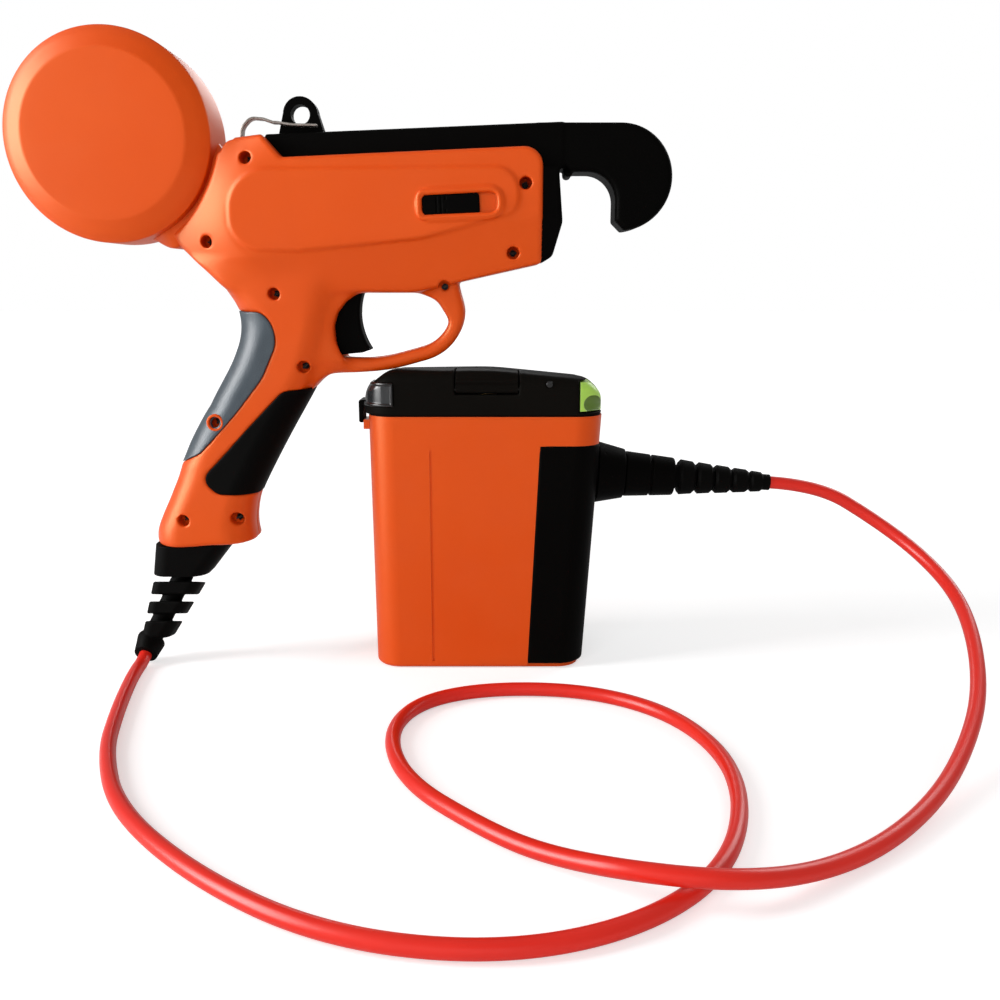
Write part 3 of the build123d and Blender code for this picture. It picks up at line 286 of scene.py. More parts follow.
def finishLook(deep, pale, worn, roughness, **more):
    # colours and roughness, then what differs from the base
    return {**plasticBase, "deep": deep, "pale": pale, "worn": worn, "roughness": roughness, **more}


finishLooks = {
    "orangePlastic": finishLook((0.68, 0.056, 0.0008), (0.72, 0.070, 0.0014), (0.84, 0.16, 0.04),
                                (0.37, 0.43), sheen=(1.0, 0.88, 0.42)),
    "blackPlastic": finishLook((0.0007, 0.0006, 0.0005), (0.0016, 0.0014, 0.0012), (0.02, 0.02, 0.02),
                               (0.42, 0.54), specular=0.03, dust=0.002),
    "blackGloss": finishLook((0.003, 0.003, 0.003), (0.005, 0.005, 0.005), (0.05, 0.05, 0.05), (0.22, 0.30),
                             dust=0.01),
    "capPlastic": finishLook((0.0032, 0.0027, 0.0021), (0.0054, 0.0047, 0.0038), (0.04, 0.04, 0.04),
                             (0.48, 0.58), specular=0.02, dust=0.003),
    "blackRubber": finishLook((0.0006, 0.0006, 0.0005), (0.0015, 0.0014, 0.0013), (0.02, 0.02, 0.02),
                              (0.55, 0.70), specular=0.05, grainScale=2600.0, bump=0.2, dust=0.006),
    "greyRubber": finishLook((0.028, 0.041, 0.052), (0.056, 0.077, 0.096), (0.20, 0.22, 0.25), (0.34, 0.46),
                             specular=0.55, grainScale=2200.0, blotchScale=60.0, bump=0.35, dust=0.02),
    "redJacket": finishLook((0.70, 0.015, 0.007), (0.80, 0.025, 0.013), (0.9, 0.12, 0.10), (0.26, 0.36),
                            bump=0.03, dust=0.02, specular=0.35, wear=0.0),
    "greenPlastic": finishLook((0.38, 0.66, 0.080), (0.46, 0.77, 0.110), (0.55, 0.78, 0.3), (0.30, 0.40)),
    # the scoop's darker green is painted shade in the hollow, not the button's own colour
    "greenScoopPaintedShade": finishLook((0.085, 0.17, 0.010), (0.11, 0.20, 0.016), (0.3, 0.5, 0.1), (0.36, 0.46)),
    "smokedWindow": finishLook((0.012, 0.013, 0.014), (0.022, 0.024, 0.026), (0.06, 0.06, 0.06),
                               (0.12, 0.20), bump=0.0, dust=0.02, coat=0.2, specular=0.4),
    "brightSteel": finishLook((0.42, 0.42, 0.43), (0.58, 0.58, 0.59), (0.75, 0.75, 0.75), (0.22, 0.36),
                              metallic=1.0),
    "blackSteel": finishLook((0.010, 0.010, 0.010), (0.020, 0.019, 0.018), (0.12, 0.12, 0.12), (0.34, 0.48),
                             metallic=0.6, specular=0.3),
    "wiredRibbon": finishLook((0.20, 0.15, 0.12), (0.62, 0.58, 0.54), (0.5, 0.46, 0.42), (0.20, 0.34),
                              metallic=0.7, blotchScale=160.0),
    "whitePlastic": finishLook((0.62, 0.62, 0.60), (0.72, 0.72, 0.70), (0.8, 0.8, 0.8), (0.40, 0.50)),
    "boardGreen": finishLook((0.012, 0.12, 0.04), (0.02, 0.17, 0.06), (0.1, 0.3, 0.15), (0.30, 0.45)),
    "cellWrap": finishLook((0.05, 0.22, 0.50), (0.08, 0.30, 0.60), (0.2, 0.4, 0.7), (0.25, 0.35)),
    "portBrass": finishLook((0.60, 0.42, 0.16), (0.74, 0.54, 0.24), (0.85, 0.7, 0.4), (0.22, 0.34),
                            metallic=1.0),
}
finishes = {name: mouldedFinish(name, look) for name, look in finishLooks.items()}
print("finishes made:", len(finishes))

# mesh helpers
meshLook = {"weld": 2e-6, "relaxStep": 0.5, "triangles": 190000, "onAxis": 1e-6, "smallest": 0.01}


def setFinish(mesh, finish):
    mesh.materials.clear()
    mesh.materials.append(finishes[finish])


def bodyOf(nodeName):
    bodies = frame["record"]["behaviour"]["bodies"]
    return next((name for name, held in bodies.items() if nodeName in held), "tool_body")


def dress(nodeName, mesh, pieceName, finish, standsForIt=True):
    # a piece that rides with a node and has its slot, and stands for it or is added to it
    piece = addObject(pieceName, mesh)
    setFinish(mesh, finish)
    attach(piece, bodyOf(nodeName))
    if standsForIt:
        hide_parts(nodeName)
    return piece


def afterModifier(mesh, kind, values=None, **settings):
    # runs one modifier on a mesh and gives the result as a plain mesh
    holder = addObject("holder", mesh)
    modifier = holder.modifiers.new(kind, kind)
    for key, value in settings.items():
        setattr(modifier, key, value)
    for key, value in (values or {}).items():
        modifier[key] = value
    graph = bpy.context.evaluated_depsgraph_get()
    made = bpy.data.meshes.new_from_object(holder.evaluated_get(graph))
    bpy.data.objects.remove(holder)
    return made


def mergedCopy(nodeName):
    mesh = nodes[nodeName].data.copy()
    work = bmesh.new()
    work.from_mesh(mesh)
    bmesh.ops.remove_doubles(work, verts=work.verts, dist=meshLook["weld"])
    work.to_mesh(mesh)
    work.free()
    if mesh.has_custom_normals:
        mesh.attributes.remove(mesh.attributes["custom_normal"])
    return mesh


def readRows(items, field, wide=3, kind=float):
    values = np.empty(len(items) * wide, dtype=kind)
    items.foreach_get(field, values)
    return values.reshape(-1, wide)


def places(mesh):
    return readRows(mesh.vertices, "co") / mm


def setPlaces(mesh, spots):
    mesh.vertices.foreach_set("co", (spots * mm).ravel())
    mesh.update()


def normals(mesh):
    return readRows(mesh.vertices, "normal")


def relax(mesh, rounds, weight=None):
    # draws each corner to the mean of its neighbours, by its share where a weight is given
    spots = readRows(mesh.vertices, "co")
    count = len(spots)
    first, second = readRows(mesh.edges, "vertices", 2, np.int64).T
    degree = np.maximum(np.bincount(first, minlength=count) + np.bincount(second, minlength=count), 1)
    pull = np.ones(count) if weight is None else weight(spots / mm)
    for step in range(rounds):
        mean = np.empty_like(spots)
        for axis in range(3):
            values = spots[:, axis]
            total = np.bincount(first, values[second], count) + np.bincount(second, values[first], count)
            mean[:, axis] = total / degree
        spots = spots + meshLook["relaxStep"] * pull[:, None] * (mean - spots)
    mesh.vertices.foreach_set("co", spots.ravel())
    mesh.update()


def ramp(values, start, end):
    share = np.clip((values - start) / (end - start), 0, 1)
    return share * share * (3 - 2 * share)


def inMetres(spot):
    return [value * mm for value in spot]


def newCorner(work, spot):
    return work.verts.new(inMetres(spot))


def skin(work, rings):
    # faces from each closed ring to the next, triangles where a ring is one corner
    faces = []
    for first, second in zip(rings, rings[1:]):
        for step in range(len(first)):
            after = (step + 1) % len(first)
            corners = [first[step], first[after], second[after], second[step]]
            faces.append(work.faces.new(list(dict.fromkeys(corners))))
    return faces


def addPrism(mesh, outline, near, far):
    # a closed slab on an outline of (x, z), joined by the remesh that follows
    work = bmesh.new()
    work.from_mesh(mesh)
    ends = [[newCorner(work, (x, y, z)) for x, z in outline] for y in (near, far)]
    faces = [work.faces.new(end) for end in ends] + skin(work, ends)
    bmesh.ops.recalc_face_normals(work, faces=faces)
    work.to_mesh(mesh)
    work.free()


def moulded(nodeName, look, shape=None, weight=None):
    # a CAD piece with its edges rounded off as a mould leaves them
    mesh = mergedCopy(nodeName)
    for outline, near, far in look.get("fillers", ()):
        addPrism(mesh, outline, near, far)
    mesh = afterModifier(mesh, "REMESH", mode="VOXEL", voxel_size=look["voxel"] * mm)
    if shape:
        setPlaces(mesh, shape(mesh))
    relax(mesh, look["rounds"])
    if weight:
        relax(mesh, look["blendRounds"], weight)
    triangles = sum(len(face.vertices) - 2 for face in mesh.polygons)
    if triangles > meshLook["triangles"]:
        mesh = afterModifier(mesh, "DECIMATE", ratio=meshLook["triangles"] / triangles)
    mesh.shade_smooth()
    return mesh


def markFaces(mesh, finish, chosen):
    # a second finish on the faces whose middle is chosen
    mesh.materials.append(finishes[finish])
    picked = chosen(readRows(mesh.polygons, "center") / mm)
    mesh.polygons.foreach_set("material_index", np.where(picked, 1, 0).astype(np.int32))


def softCorners(outline, steps=7):
    # (across, along, round) corners turned into short curves
    made = []
    for index, (across, along, corner) in enumerate(outline):
        here = np.array((across, along))
        if corner == 0:
            made.append(here)
            continue
        before = np.array(outline[index - 1][:2]) - here
        after = np.array(outline[(index + 1) % len(outline)][:2]) - here
        reach = min(corner, 0.5 * np.linalg.norm(before), 0.5 * np.linalg.norm(after))
        start = here + before / np.linalg.norm(before) * reach
        end = here + after / np.linalg.norm(after) * reach
        for share in np.linspace(0, 1, steps):
            made.append((1 - share) ** 2 * start + 2 * share * (1 - share) * here + share ** 2 * end)
    return made


def turnedCorner(work, centre, turn, radius, depth):
    x, y, z = centre
    return newCorner(work, (x + radius * math.cos(turn), y + depth, z + radius * math.sin(turn)))


def lathe(profile, centre, segments=160):
    # a profile of (radius, depth) turned about an axis along y
    turns = [2 * math.pi * step / segments for step in range(segments)]
    work = bmesh.new()
    rings = []
    for radius, depth in profile:
        if radius < meshLook["onAxis"]:
            rings.append([turnedCorner(work, centre, 0, 0, depth)] * segments)
        else:
            rings.append([turnedCorner(work, centre, turn, radius, depth) for turn in turns])
    skin(work, rings)
    return work


def finished(work, name, sharp):
    bmesh.ops.recalc_face_normals(work, faces=work.faces)
    mesh = bpy.data.meshes.new(name)
    work.to_mesh(mesh)
    work.free()
    mesh.shade_smooth()
    mesh.set_sharp_from_angle(angle=math.radians(sharp))
    return mesh


# geometry node helpers
def newTree(name, inputs):
    inputs = [("Geometry", "Geometry"), *inputs, ("Finish", "Material")]
    return newGroup(name, "GeometryNodeTree", inputs, [("Geometry", "Geometry")])


def moved(tree, geometry, shift, **more):
    return outOf(tree, "GeometryNodeTransform", {"Geometry": geometry, "Translation": shift, **more})


def joined(tree, parts):
    join = addNode(tree, "GeometryNodeJoinGeometry")
    for part in parts:
        tree.links.new(part, join.inputs["Geometry"])
    return join.outputs["Geometry"]


def closeTree(tree, start, end, geometry):
    # instances made real, then the finish set
    real = outOf(tree, "GeometryNodeRealizeInstances", {"Geometry": geometry})
    feeds = {"Geometry": real, "Material": start.outputs["Finish"]}
    wire(tree, end, {"Geometry": outOf(tree, "GeometryNodeSetMaterial", feeds)})
    return tree


def grow(tree, spots, finish, attributes):
    # runs a node tree on a mesh of bare points
    base = bpy.data.meshes.new(tree.name)
    base.from_pydata(spots, [], [])
    for label, values in attributes.items():
        base.attributes.new(label, "FLOAT", "POINT").data.foreach_set("value", values)
    socket = next(item for item in tree.interface.items_tree if item.name == "Finish")
    return afterModifier(base, "NODES", {socket.identifier: finishes[finish]}, node_group=tree)


# power lead: the boot's end first and the plug's end last
leadLook = {
    "diameter": 0.007,
    "length": 1.34,
    "start": (-186.4, -26.0, 6.3),
    "rest": 3.5,
    "floorRun": [
        (-186.8, -30.8), (-186.0, -42.0), (-183.0, -62.0), (-175.8, -98.0), (-165.5, -139.0), (-142.0, -188.0),
        (-97.0, -234.0), (-47.0, -266.0), (7.0, -275.0), (53.0, -262.0), (88.0, -231.0), (106.0, -185.0),
        (108.0, -138.0), (90.0, -95.0), (53.0, -69.5), (4.0, -66.5), (-31.0, -83.0), (-43.0, -119.0),
        (-30.5, -165.0), (3.0, -202.0),
    ],
    "lifted": [
        (25.0, -220.0, 4.0), (52.0, -243.0, 12.0), (86.0, -250.0, 12.5), (120.0, -233.0, 4.6),
        (152.0, -213.0, 3.8), (184.0, -182.0, 5.5), (208.0, -152.0, 12.0), (228.0, -120.0, 22.0),
        (241.0, -84.0, 36.0), (246.0, -50.0, 49.0), (237.0, -21.0, 63.0), (217.0, -4.0, 78.0),
    ],
    "plugEnd": 98.2,
    "plugLead": 28.0,
    "plugFace": (60.758, 0.0, 104.0),
    "plugTilt": 3.6,
    "steps": (14, 7),
}
plugTurn = (0, math.radians(90 + leadLook["plugTilt"]), 0)


def alongPlug(distance):
    tilt = math.radians(leadLook["plugTilt"])
    x, y, z = leadLook["plugFace"]
    return (x + distance * math.cos(tilt), y, z - distance * math.sin(tilt))


def makeLead(look, plugPieces):
    curve = bpy.data.curves.new("powerLead", "CURVE")
    curve.dimensions = "3D"
    spline = curve.splines.new("NURBS")
    route = [look["start"], *[(x, y, look["rest"]) for x, y in look["floorRun"]], *look["lifted"],
             alongPlug(look["plugEnd"] + look["plugLead"]), alongPlug(look["plugEnd"])]
    spline.points.add(len(route) - 1)
    for point, place in zip(spline.points, route):
        point.co = (*inMetres(place), 1)
    spline.order_u = 3
    spline.use_endpoint_u = True
    spline.resolution_u, curve.bevel_resolution = look["steps"]
    curve.bevel_depth = look["diameter"] / 2
    curve.materials.append(finishes["redJacket"])
    lead = addObject("powerLead", curve)
    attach(lead, "tool_body")
    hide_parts("power_cable")


# plug: beads of falling size threaded on a core
beadLook = {"start": 44.5, "neck": (6.6, 2.5), "neckOverlap": 1.0, "core": 4.4, "end": 98.2, "gap": 1.0,
            "beads": [(9.8, 9.2), (8.8, 9.0), (7.9, 9.0), (6.9, 9.0), (5.9, 7.0)], "edge": 0.15, "taper": 0.92,
            "sides": 40, "sharp": 30.0}
plugShell = {"voxel": 0.35, "rounds": 1}


def turnedRod(tree, radius, low, high, sides):
    # a rod along the plug's axis
    sizes = {"Vertices": sides, "Radius": radius, "Depth": (high - low) * mm}
    rod = outOf(tree, "GeometryNodeMeshCylinder", sizes)
    return moved(tree, rod, inMetres(alongPlug((low + high) / 2)), Rotation=plugTurn)


def beadTree(look):
    neckRadius, neckLength = look["neck"]
    inputs = [("Core Radius", "Float", look["core"] * mm), ("Neck Radius", "Float", neckRadius * mm),
              ("Edge", "Float", look["edge"]), ("Taper", "Float", look["taper"]),
              ("Sides", "Int", look["sides"])]
    tree, start, end = newTree("plugBeads", inputs)
    given = start.outputs
    edge, taper, sides = given["Edge"], given["Taper"], given["Sides"]
    lower = addMath(tree, "SUBTRACT", 1.0, edge)
    upper = addMath(tree, "SUBTRACT", taper, edge)
    middle = addMath(tree, "SUBTRACT", lower, edge)
    # each band's lower and upper radius, height and place, on a bead of size 1
    bands = [(lower, 1.0, edge, 0.0), (1.0, taper, middle, edge), (taper, upper, edge, lower)]
    parts = []
    for base, top, height, place in bands:
        sizes = {"Vertices": sides, "Radius Bottom": base, "Radius Top": top, "Depth": height}
        cone = outOf(tree, "GeometryNodeMeshCone", sizes, fill_type="NONE")
        parts.append(moved(tree, cone, outOf(tree, "ShaderNodeCombineXYZ", {"Z": place})))
    for radius, height in ((lower, 0.0), (upper, 1.0)):
        sizes = {"Vertices": sides, "Radius": radius}
        lid = moved(tree, outOf(tree, "GeometryNodeMeshCircle", sizes, fill_type="NGON"), (0, 0, height))
        if height == 0.0:
            lid = outOf(tree, "GeometryNodeFlipFaces", {"Mesh": lid})
        parts.append(lid)
    bead = outOf(tree, "GeometryNodeMergeByDistance", {"Geometry": joined(tree, parts)})
    radius, length = (outOf(tree, "GeometryNodeInputNamedAttribute", {"Name": name}, data_type="FLOAT")
                      for name in ("beadRadius", "beadLength"))
    scale = outOf(tree, "ShaderNodeCombineXYZ", {"X": radius, "Y": radius, "Z": length})
    feeds = {"Points": given["Geometry"], "Instance": bead, "Rotation": plugTurn, "Scale": scale}
    string = outOf(tree, "GeometryNodeInstanceOnPoints", feeds)
    low, neckEnd = look["start"], look["start"] + neckLength + look["neckOverlap"]
    core = turnedRod(tree, given["Core Radius"], low, look["end"], look["sides"])
    neck = turnedRod(tree, given["Neck Radius"], low, neckEnd, look["sides"])
    return closeTree(tree, start, end, joined(tree, [string, core, neck]))


def plugBeads(look):
    spots, radii, lengths = [], [], []
    reach = look["start"] + look["neck"][1]
    for radius, length in look["beads"]:
        spots.append(inMetres(alongPlug(reach)))
        radii.append(radius * mm)
        lengths.append(length * mm)
        reach += length + look["gap"]
    mesh = grow(beadTree(look), spots, "blackRubber", {"beadRadius": radii, "beadLength": lengths})
    mesh.set_sharp_from_angle(angle=math.radians(look["sharp"]))
    return dress("plug_boot", mesh, "plugBeads", "blackRubber")


plugBody = moulded("plug_body", plugShell)
makeLead(leadLook, [plugBeads(beadLook), dress("plug_body", plugBody, "plugBody", "blackPlastic")])
print("lead laid, plug threaded")

# housing halves: the flank slopes in towards the drum and flows into the handle
toolY = -17.0
housingLook = {"voxel": 0.75, "rounds": 2, "blendRounds": 100, "webHalf": (7.3, 13.0), "rootHalf": (5.0, 9.6),
               "corner": (-121.4, 269.0, 6.0)}
flankSlope = {"panelEnd": (-103.0, 238.5), "panelReach": 22.5, "length": 26.0, "slope": 0.50, "turn": 1.15,
              "most": 1.15, "from": (200.0, 222.0), "back": (-88.0, -122.0)}
holeMouth = {"radii": (2.5, 4.6), "wider": 0.55, "fade": 1.0}
screwSpots = [(-115.0, 266.0), (-137.0, 226.5), (-104.5, 201.0), (-91.5, 164.5), (-19.0, 204.5),
              (15.5, 221.0), (21.5, 254.0), (-158.0, 84.0), (-131.0, 85.5), (-139.0, 136.0)]
triggerArch = [(-57.0, 202.5), (-63.0, 201.2), (-69.0, 197.5), (-73.6, 191.9), (-75.9, 184.9), (-75.4, 177.3),
               (-71.4, 169.2), (-70.0, 166.0), (-86.0, 166.0), (-82.0, 185.0), (-76.0, 205.0), (-57.0, 205.0)]
guardRoot = [(-69.0, 168.5), (-69.0, 163.4), (-78.0, 160.2), (-84.0, 156.0), (-86.5, 155.0), (-86.5, 169.0)]
gripBulge = {"spot": (-109.5, 187.5), "push": (2.0, 1.9), "reach": 7.5}
handleLine = {"heights": (68.0, 84.0, 99.0, 112.0, 124.0, 133.0, 144.0, 158.0, 171.0, 192.0, 205.0),
              "shifts": (1.6, 0.4, -1.6, -2.3, -0.8, 0.8, 2.4, 1.7, 1.2, 1.8, 0.0)}
handleRear = {"heights": (67.0, 97.0, 125.0, 155.0, 180.0, 196.0, 212.0),
              "places": (-175.8, -165.2, -153.6, -138.3, -126.4, -128.0, -137.0),
              "depth": 30.0, "fade": 26.0, "top": (210.0, 196.0)}
handleFront = {"heights": (125.0, 155.0, 180.0), "places": (-105.0, -87.6, -77.6), "half": 9.0,
               "between": (120.0, 162.0), "fade": (150.0, 163.0)}
soleFlare = {"from": (100.0, 74.0), "across": (-148.0, -120.0), "out": 2.6, "down": 2.6}
blendLook = {
    "junction": {"x": ((-150, -132), (-62, -78)), "z": ((190, 198), (219, 212)), "off": (11, 15), "share": 1.0},
    "root": {"x": ((-94, -88), (-54, -66)), "z": ((146, 152), (178, 171)), "off": (5, 8), "share": 1.0},
    "guard": {"x": ((-70, -58), (2, -4)), "z": ((155, 160), (208, 200)), "share": 0.35},
    "arch": {"x": ((-92, -84), (-50, -56)), "z": ((150, 160), (212, 206)), "off": (8.5, 10.5), "share": 0.5},
}
screwClear = (3.6, 6.5)


def handleShape(spots):
    # the rear line of the handle straightens and the sole runs out to a point in front
    x, y, z = spots.T
    rear = np.interp(z, handleRear["heights"], handleRear["places"])
    share = ramp(rear + handleRear["depth"] - x, 0, handleRear["fade"]) * ramp(z, *handleRear["top"])
    shift = np.interp(z, handleLine["heights"], handleLine["shifts"]) * share
    flare = ramp(z, *soleFlare["from"]) * ramp(x, *soleFlare["across"])
    bulgeX, bulgeZ = gripBulge["spot"]
    bulge = np.exp(-((x - bulgeX) ** 2 + (z - bulgeZ) ** 2) / gripBulge["reach"] ** 2)
    made = spots.copy()
    made[:, 0] += shift + soleFlare["out"] * flare + gripBulge["push"][0] * bulge
    made[:, 2] += gripBulge["push"][1] * bulge - soleFlare["down"] * flare
    return made


def slopedIn(spots):
    # the flank falls away to the drum past the panel's round end
    look = flankSlope
    x, y, z = spots.T
    away = np.hypot(x - look["panelEnd"][0], z - look["panelEnd"][1]) - look["panelReach"]
    share = np.clip(away / look["length"], 0, look["most"]) ** look["turn"]
    share = share * ramp(z, *look["from"]) * ramp(x, *look["back"])
    made = spots.copy()
    made[:, 1] = toolY + (y - toolY) * (1 - look["slope"] * share)
    return made


def roundedCorner(spots):
    # the receiver's upper rear corner
    cornerX, cornerZ, cornerTurn = housingLook["corner"]
    left, up = np.maximum(cornerX - spots[:, 0], 0), np.maximum(spots[:, 2] - cornerZ, 0)
    inward = np.minimum(1, cornerTurn / np.maximum(np.hypot(left, up), meshLook["smallest"]))
    shrink = np.where((left > 0) & (up > 0), inward, 1)
    spots[:, 0] += left * (1 - shrink)
    spots[:, 2] -= up * (1 - shrink)


def housingShape(mesh):
    spots = slopedIn(places(mesh))
    roundedCorner(spots)
    x, y, z = spots.T
    front = np.interp(z, handleFront["heights"], handleFront["places"])
    low, high = handleFront["between"]
    tail = (np.abs(y - toolY) < handleFront["half"]) * (z < high) * (z > low) * (x > front)
    spots[:, 0] = np.where(tail, front + (x - front) * ramp(z, *handleFront["fade"]), x)
    inner, outer = holeMouth["radii"]
    for screwX, screwZ in screwSpots:
        dx, dz = spots[:, 0] - screwX, spots[:, 2] - screwZ
        reach = np.maximum(np.hypot(dx, dz), meshLook["smallest"])
        rising, falling = ramp(reach, inner - holeMouth["fade"], inner), 1 - ramp(reach, inner, outer)
        widen = holeMouth["wider"] * rising * falling / reach
        spots[:, 0] += dx * widen
        spots[:, 2] += dz * widen
    return handleShape(spots)


def housingBlend(spots):
    # where the receiver flows into the handle and the guard, clear of the screws
    x, y, z = spots.T
    weight = np.zeros(len(spots))
    for region in blendLook.values():
        share = region["share"]
        for values, ends in ((x, region["x"]), (z, region["z"])):
            for start, end in ends:
                share = share * ramp(values, start, end)
        if "off" in region:
            share = share * ramp(np.abs(y - toolY), *region["off"])
        weight = np.maximum(weight, share)
    for screwX, screwZ in screwSpots:
        weight *= ramp(np.hypot(x - screwX, z - screwZ), *screwClear)
    return weight


for side, sign in (("left_housing", -1), ("right_housing", 1)):
    fillers = [(outline, *[toolY + sign * half for half in housingLook[key]])
               for outline, key in ((triggerArch, "webHalf"), (guardRoot, "rootHalf"))]
    mesh = moulded(side, {**housingLook, "fillers": fillers}, housingShape, housingBlend)
    dress(side, mesh, side.split("_")[0] + "HousingHalf", "orangePlastic")
print("housing moulded")

# housing screws: a pan head with a cross recess at each spot, turned at random
screwLook = {"headRadius": 2.7, "headTop": 1.9, "headHeight": 2.0, "recess": (0.75, 3.3, 1.3),
             "shank": (1.5, 18.0), "seat": -26.0, "seed": 7, "sides": 28}


def screwTree(look):
    inputs = [("Head Radius", "Float", look["headRadius"] * mm), ("Head Top", "Float", look["headTop"] * mm),
              ("Head Height", "Float", look["headHeight"] * mm), ("Seed", "Int", look["seed"])]
    tree, start, end = newTree("housingScrews", inputs)
    given = start.outputs
    sizes = {"Vertices": look["sides"], "Radius Bottom": given["Head Radius"], "Radius Top": given["Head Top"],
             "Depth": given["Head Height"]}
    head = outOf(tree, "GeometryNodeMeshCone", sizes)
    width, length, depth = look["recess"]
    bars = []
    for size in ((width, length, 2 * depth), (length, width, 2 * depth)):
        bar = outOf(tree, "GeometryNodeMeshCube", {"Size": inMetres(size)})
        bars.append(moved(tree, bar, (0, 0, look["headHeight"] * mm)))
    cut = outOf(tree, "GeometryNodeMeshBoolean", {0: head, 1: joined(tree, bars)}, operation="DIFFERENCE")
    radius, reach = look["shank"]
    sizes = {"Vertices": look["sides"], "Radius": radius * mm, "Depth": reach * mm}
    shank = moved(tree, outOf(tree, "GeometryNodeMeshCylinder", sizes), (0, 0, -reach / 2 * mm))
    quarter = math.pi / 2
    turns = {"Min": (quarter, 0, 0), "Max": (quarter, quarter, 0), "Seed": given["Seed"]}
    spin = outOf(tree, "FunctionNodeRandomValue", turns, data_type="FLOAT_VECTOR")
    feeds = {"Points": given["Geometry"], "Instance": joined(tree, [cut, shank]), "Rotation": spin}
    return closeTree(tree, start, end, outOf(tree, "GeometryNodeInstanceOnPoints", feeds))


screwPoints = handleShape(slopedIn(np.array([(x, screwLook["seat"], z) for x, z in screwSpots])))
screwMesh = grow(screwTree(screwLook), (screwPoints * mm).tolist(), "blackSteel", {})
dress("housing_screws", screwMesh, "housingScrews", "blackSteel")
print("screws driven:", len(screwSpots))

# raised frame round the slide switch and the boss ring in the rear grip
frameLook = {"corners": [(-30.6, 249.4, 3.2), (8.9, 251.4, 6.0), (9.4, 238.9, 6.0), (-30.6, 237.2, 3.2)],
             "steps": 9, "arc": 11, "width": 3.1, "proud": 1.5, "face": -41.1, "sunk": 0.8, "sharp": 60.0}
ringLook = {"spot": (-139.0, 136.0), "face": -35.0, "bore": 3.1, "outer": 4.4, "proud": 0.35, "depth": 3.0,
            "edges": (0.3, 0.4), "segments": 48, "weld": 1e-7, "sharp": 50.0}


def switchFrame(look):
    loop = np.array(softCorners(look["corners"], look["steps"]))
    along = np.roll(loop, -1, axis=0) - np.roll(loop, 1, axis=0)
    along /= np.linalg.norm(along, axis=1)[:, None]
    across = np.stack([along[:, 1], -along[:, 0]], axis=1)
    half = look["width"] / 2
    turns = np.linspace(0, math.pi, look["arc"])
    profile = [(-math.cos(turn) * half, math.sin(turn) * look["proud"]) for turn in turns]
    profile += [(half, -look["sunk"]), (-half, -look["sunk"])]
    work = bmesh.new()
    rings = []
    for spot, side in zip(loop, across):
        flat = [(*(spot + side * offset), height) for offset, height in profile]
        rings.append([newCorner(work, (x, look["face"] - height, z)) for x, z, height in flat])
    skin(work, rings + rings[:1])
    return finished(work, "switchFrame", look["sharp"])


def bossRing(look):
    x, z = look["spot"]
    spot = handleShape(np.array([(x, look["face"], z)]))[0]
    bore, outer, top, depth = look["bore"], look["outer"], -look["proud"], look["depth"]
    inEdge, outEdge = look["edges"]
    profile = [(bore, depth), (bore, top + inEdge), (bore + inEdge, top), (outer - outEdge, top),
               (outer, top + outEdge), (outer, depth), (bore, depth)]
    work = lathe(profile, spot, look["segments"])
    bmesh.ops.remove_doubles(work, verts=work.verts, dist=look["weld"])
    return finished(work, "gripBossRing", look["sharp"])


dress("left_housing", switchFrame(frameLook), "switchFrame", "orangePlastic", False)
dress("left_housing", bossRing(ringLook), "gripBossRing", "orangePlastic", False)
print("switch frame and boss ring made")

# drum: a turned cover and case with a soft rim, and a neck that runs out along the case
drumLook = {"centre": (-183.3, -17.0, 276.7), "radius": 50.8, "half": 16.0, "face": 40.0, "edge": 20.5,
            "wall": 2.2, "seam": -13.0, "seamGap": 0.15, "crown": 0.15, "crownSpot": (0.6, 0.7, 8),
            "faceRound": 1.1, "shoulder": (47.3, 17.4, 3.6), "rim": (50.8, 14.9, 2.0), "skirt": 48.2,
            "skirtEnd": -8.0, "hub": 7.0, "hubBore": 4.05, "hubEnd": 14.3, "hubRound": 0.6, "innerRound": 1.0,
            "lipRound": 0.4, "seamRound": 0.3, "sharp": 50.0}
neckLook = {"radii": (49.9, 60.3), "half": 9.0, "turn": (-75.0, 0.0), "fade": 14.0, "steps": 45, "endRise": 0.4,
            "endShare": 0.2, "lip": 1.0}


def drumOutside(look, sign):
    # from the middle of the face out to the rim
    radiusShare, crownShare, crownRound = look["crownSpot"]
    outline = [(0, look["edge"] + look["crown"], 0),
               (look["face"] * radiusShare, look["edge"] + look["crown"] * crownShare, crownRound),
               (look["face"], look["edge"], look["faceRound"]), look["shoulder"], look["rim"]]
    return [(radius, sign * depth, turn) for radius, depth, turn in outline]


def drumCover(look):
    wall, skirt, inner, lip = look["wall"], look["skirt"], look["innerRound"], look["lipRound"]
    seam, floor = look["seam"] - look["seamGap"], -look["edge"] + look["wall"]
    outline = drumOutside(look, -1)
    outline += [(look["radius"], seam, look["seamRound"]), (skirt, seam, 0), (skirt, look["skirtEnd"], lip),
                (skirt - wall, look["skirtEnd"], lip), (skirt - wall, -look["half"] + inner, inner),
                (look["face"] - wall, floor, inner), (0, floor, 0)]
    return finished(lathe(softCorners(outline), look["centre"]), "drumCoverShell", look["sharp"])


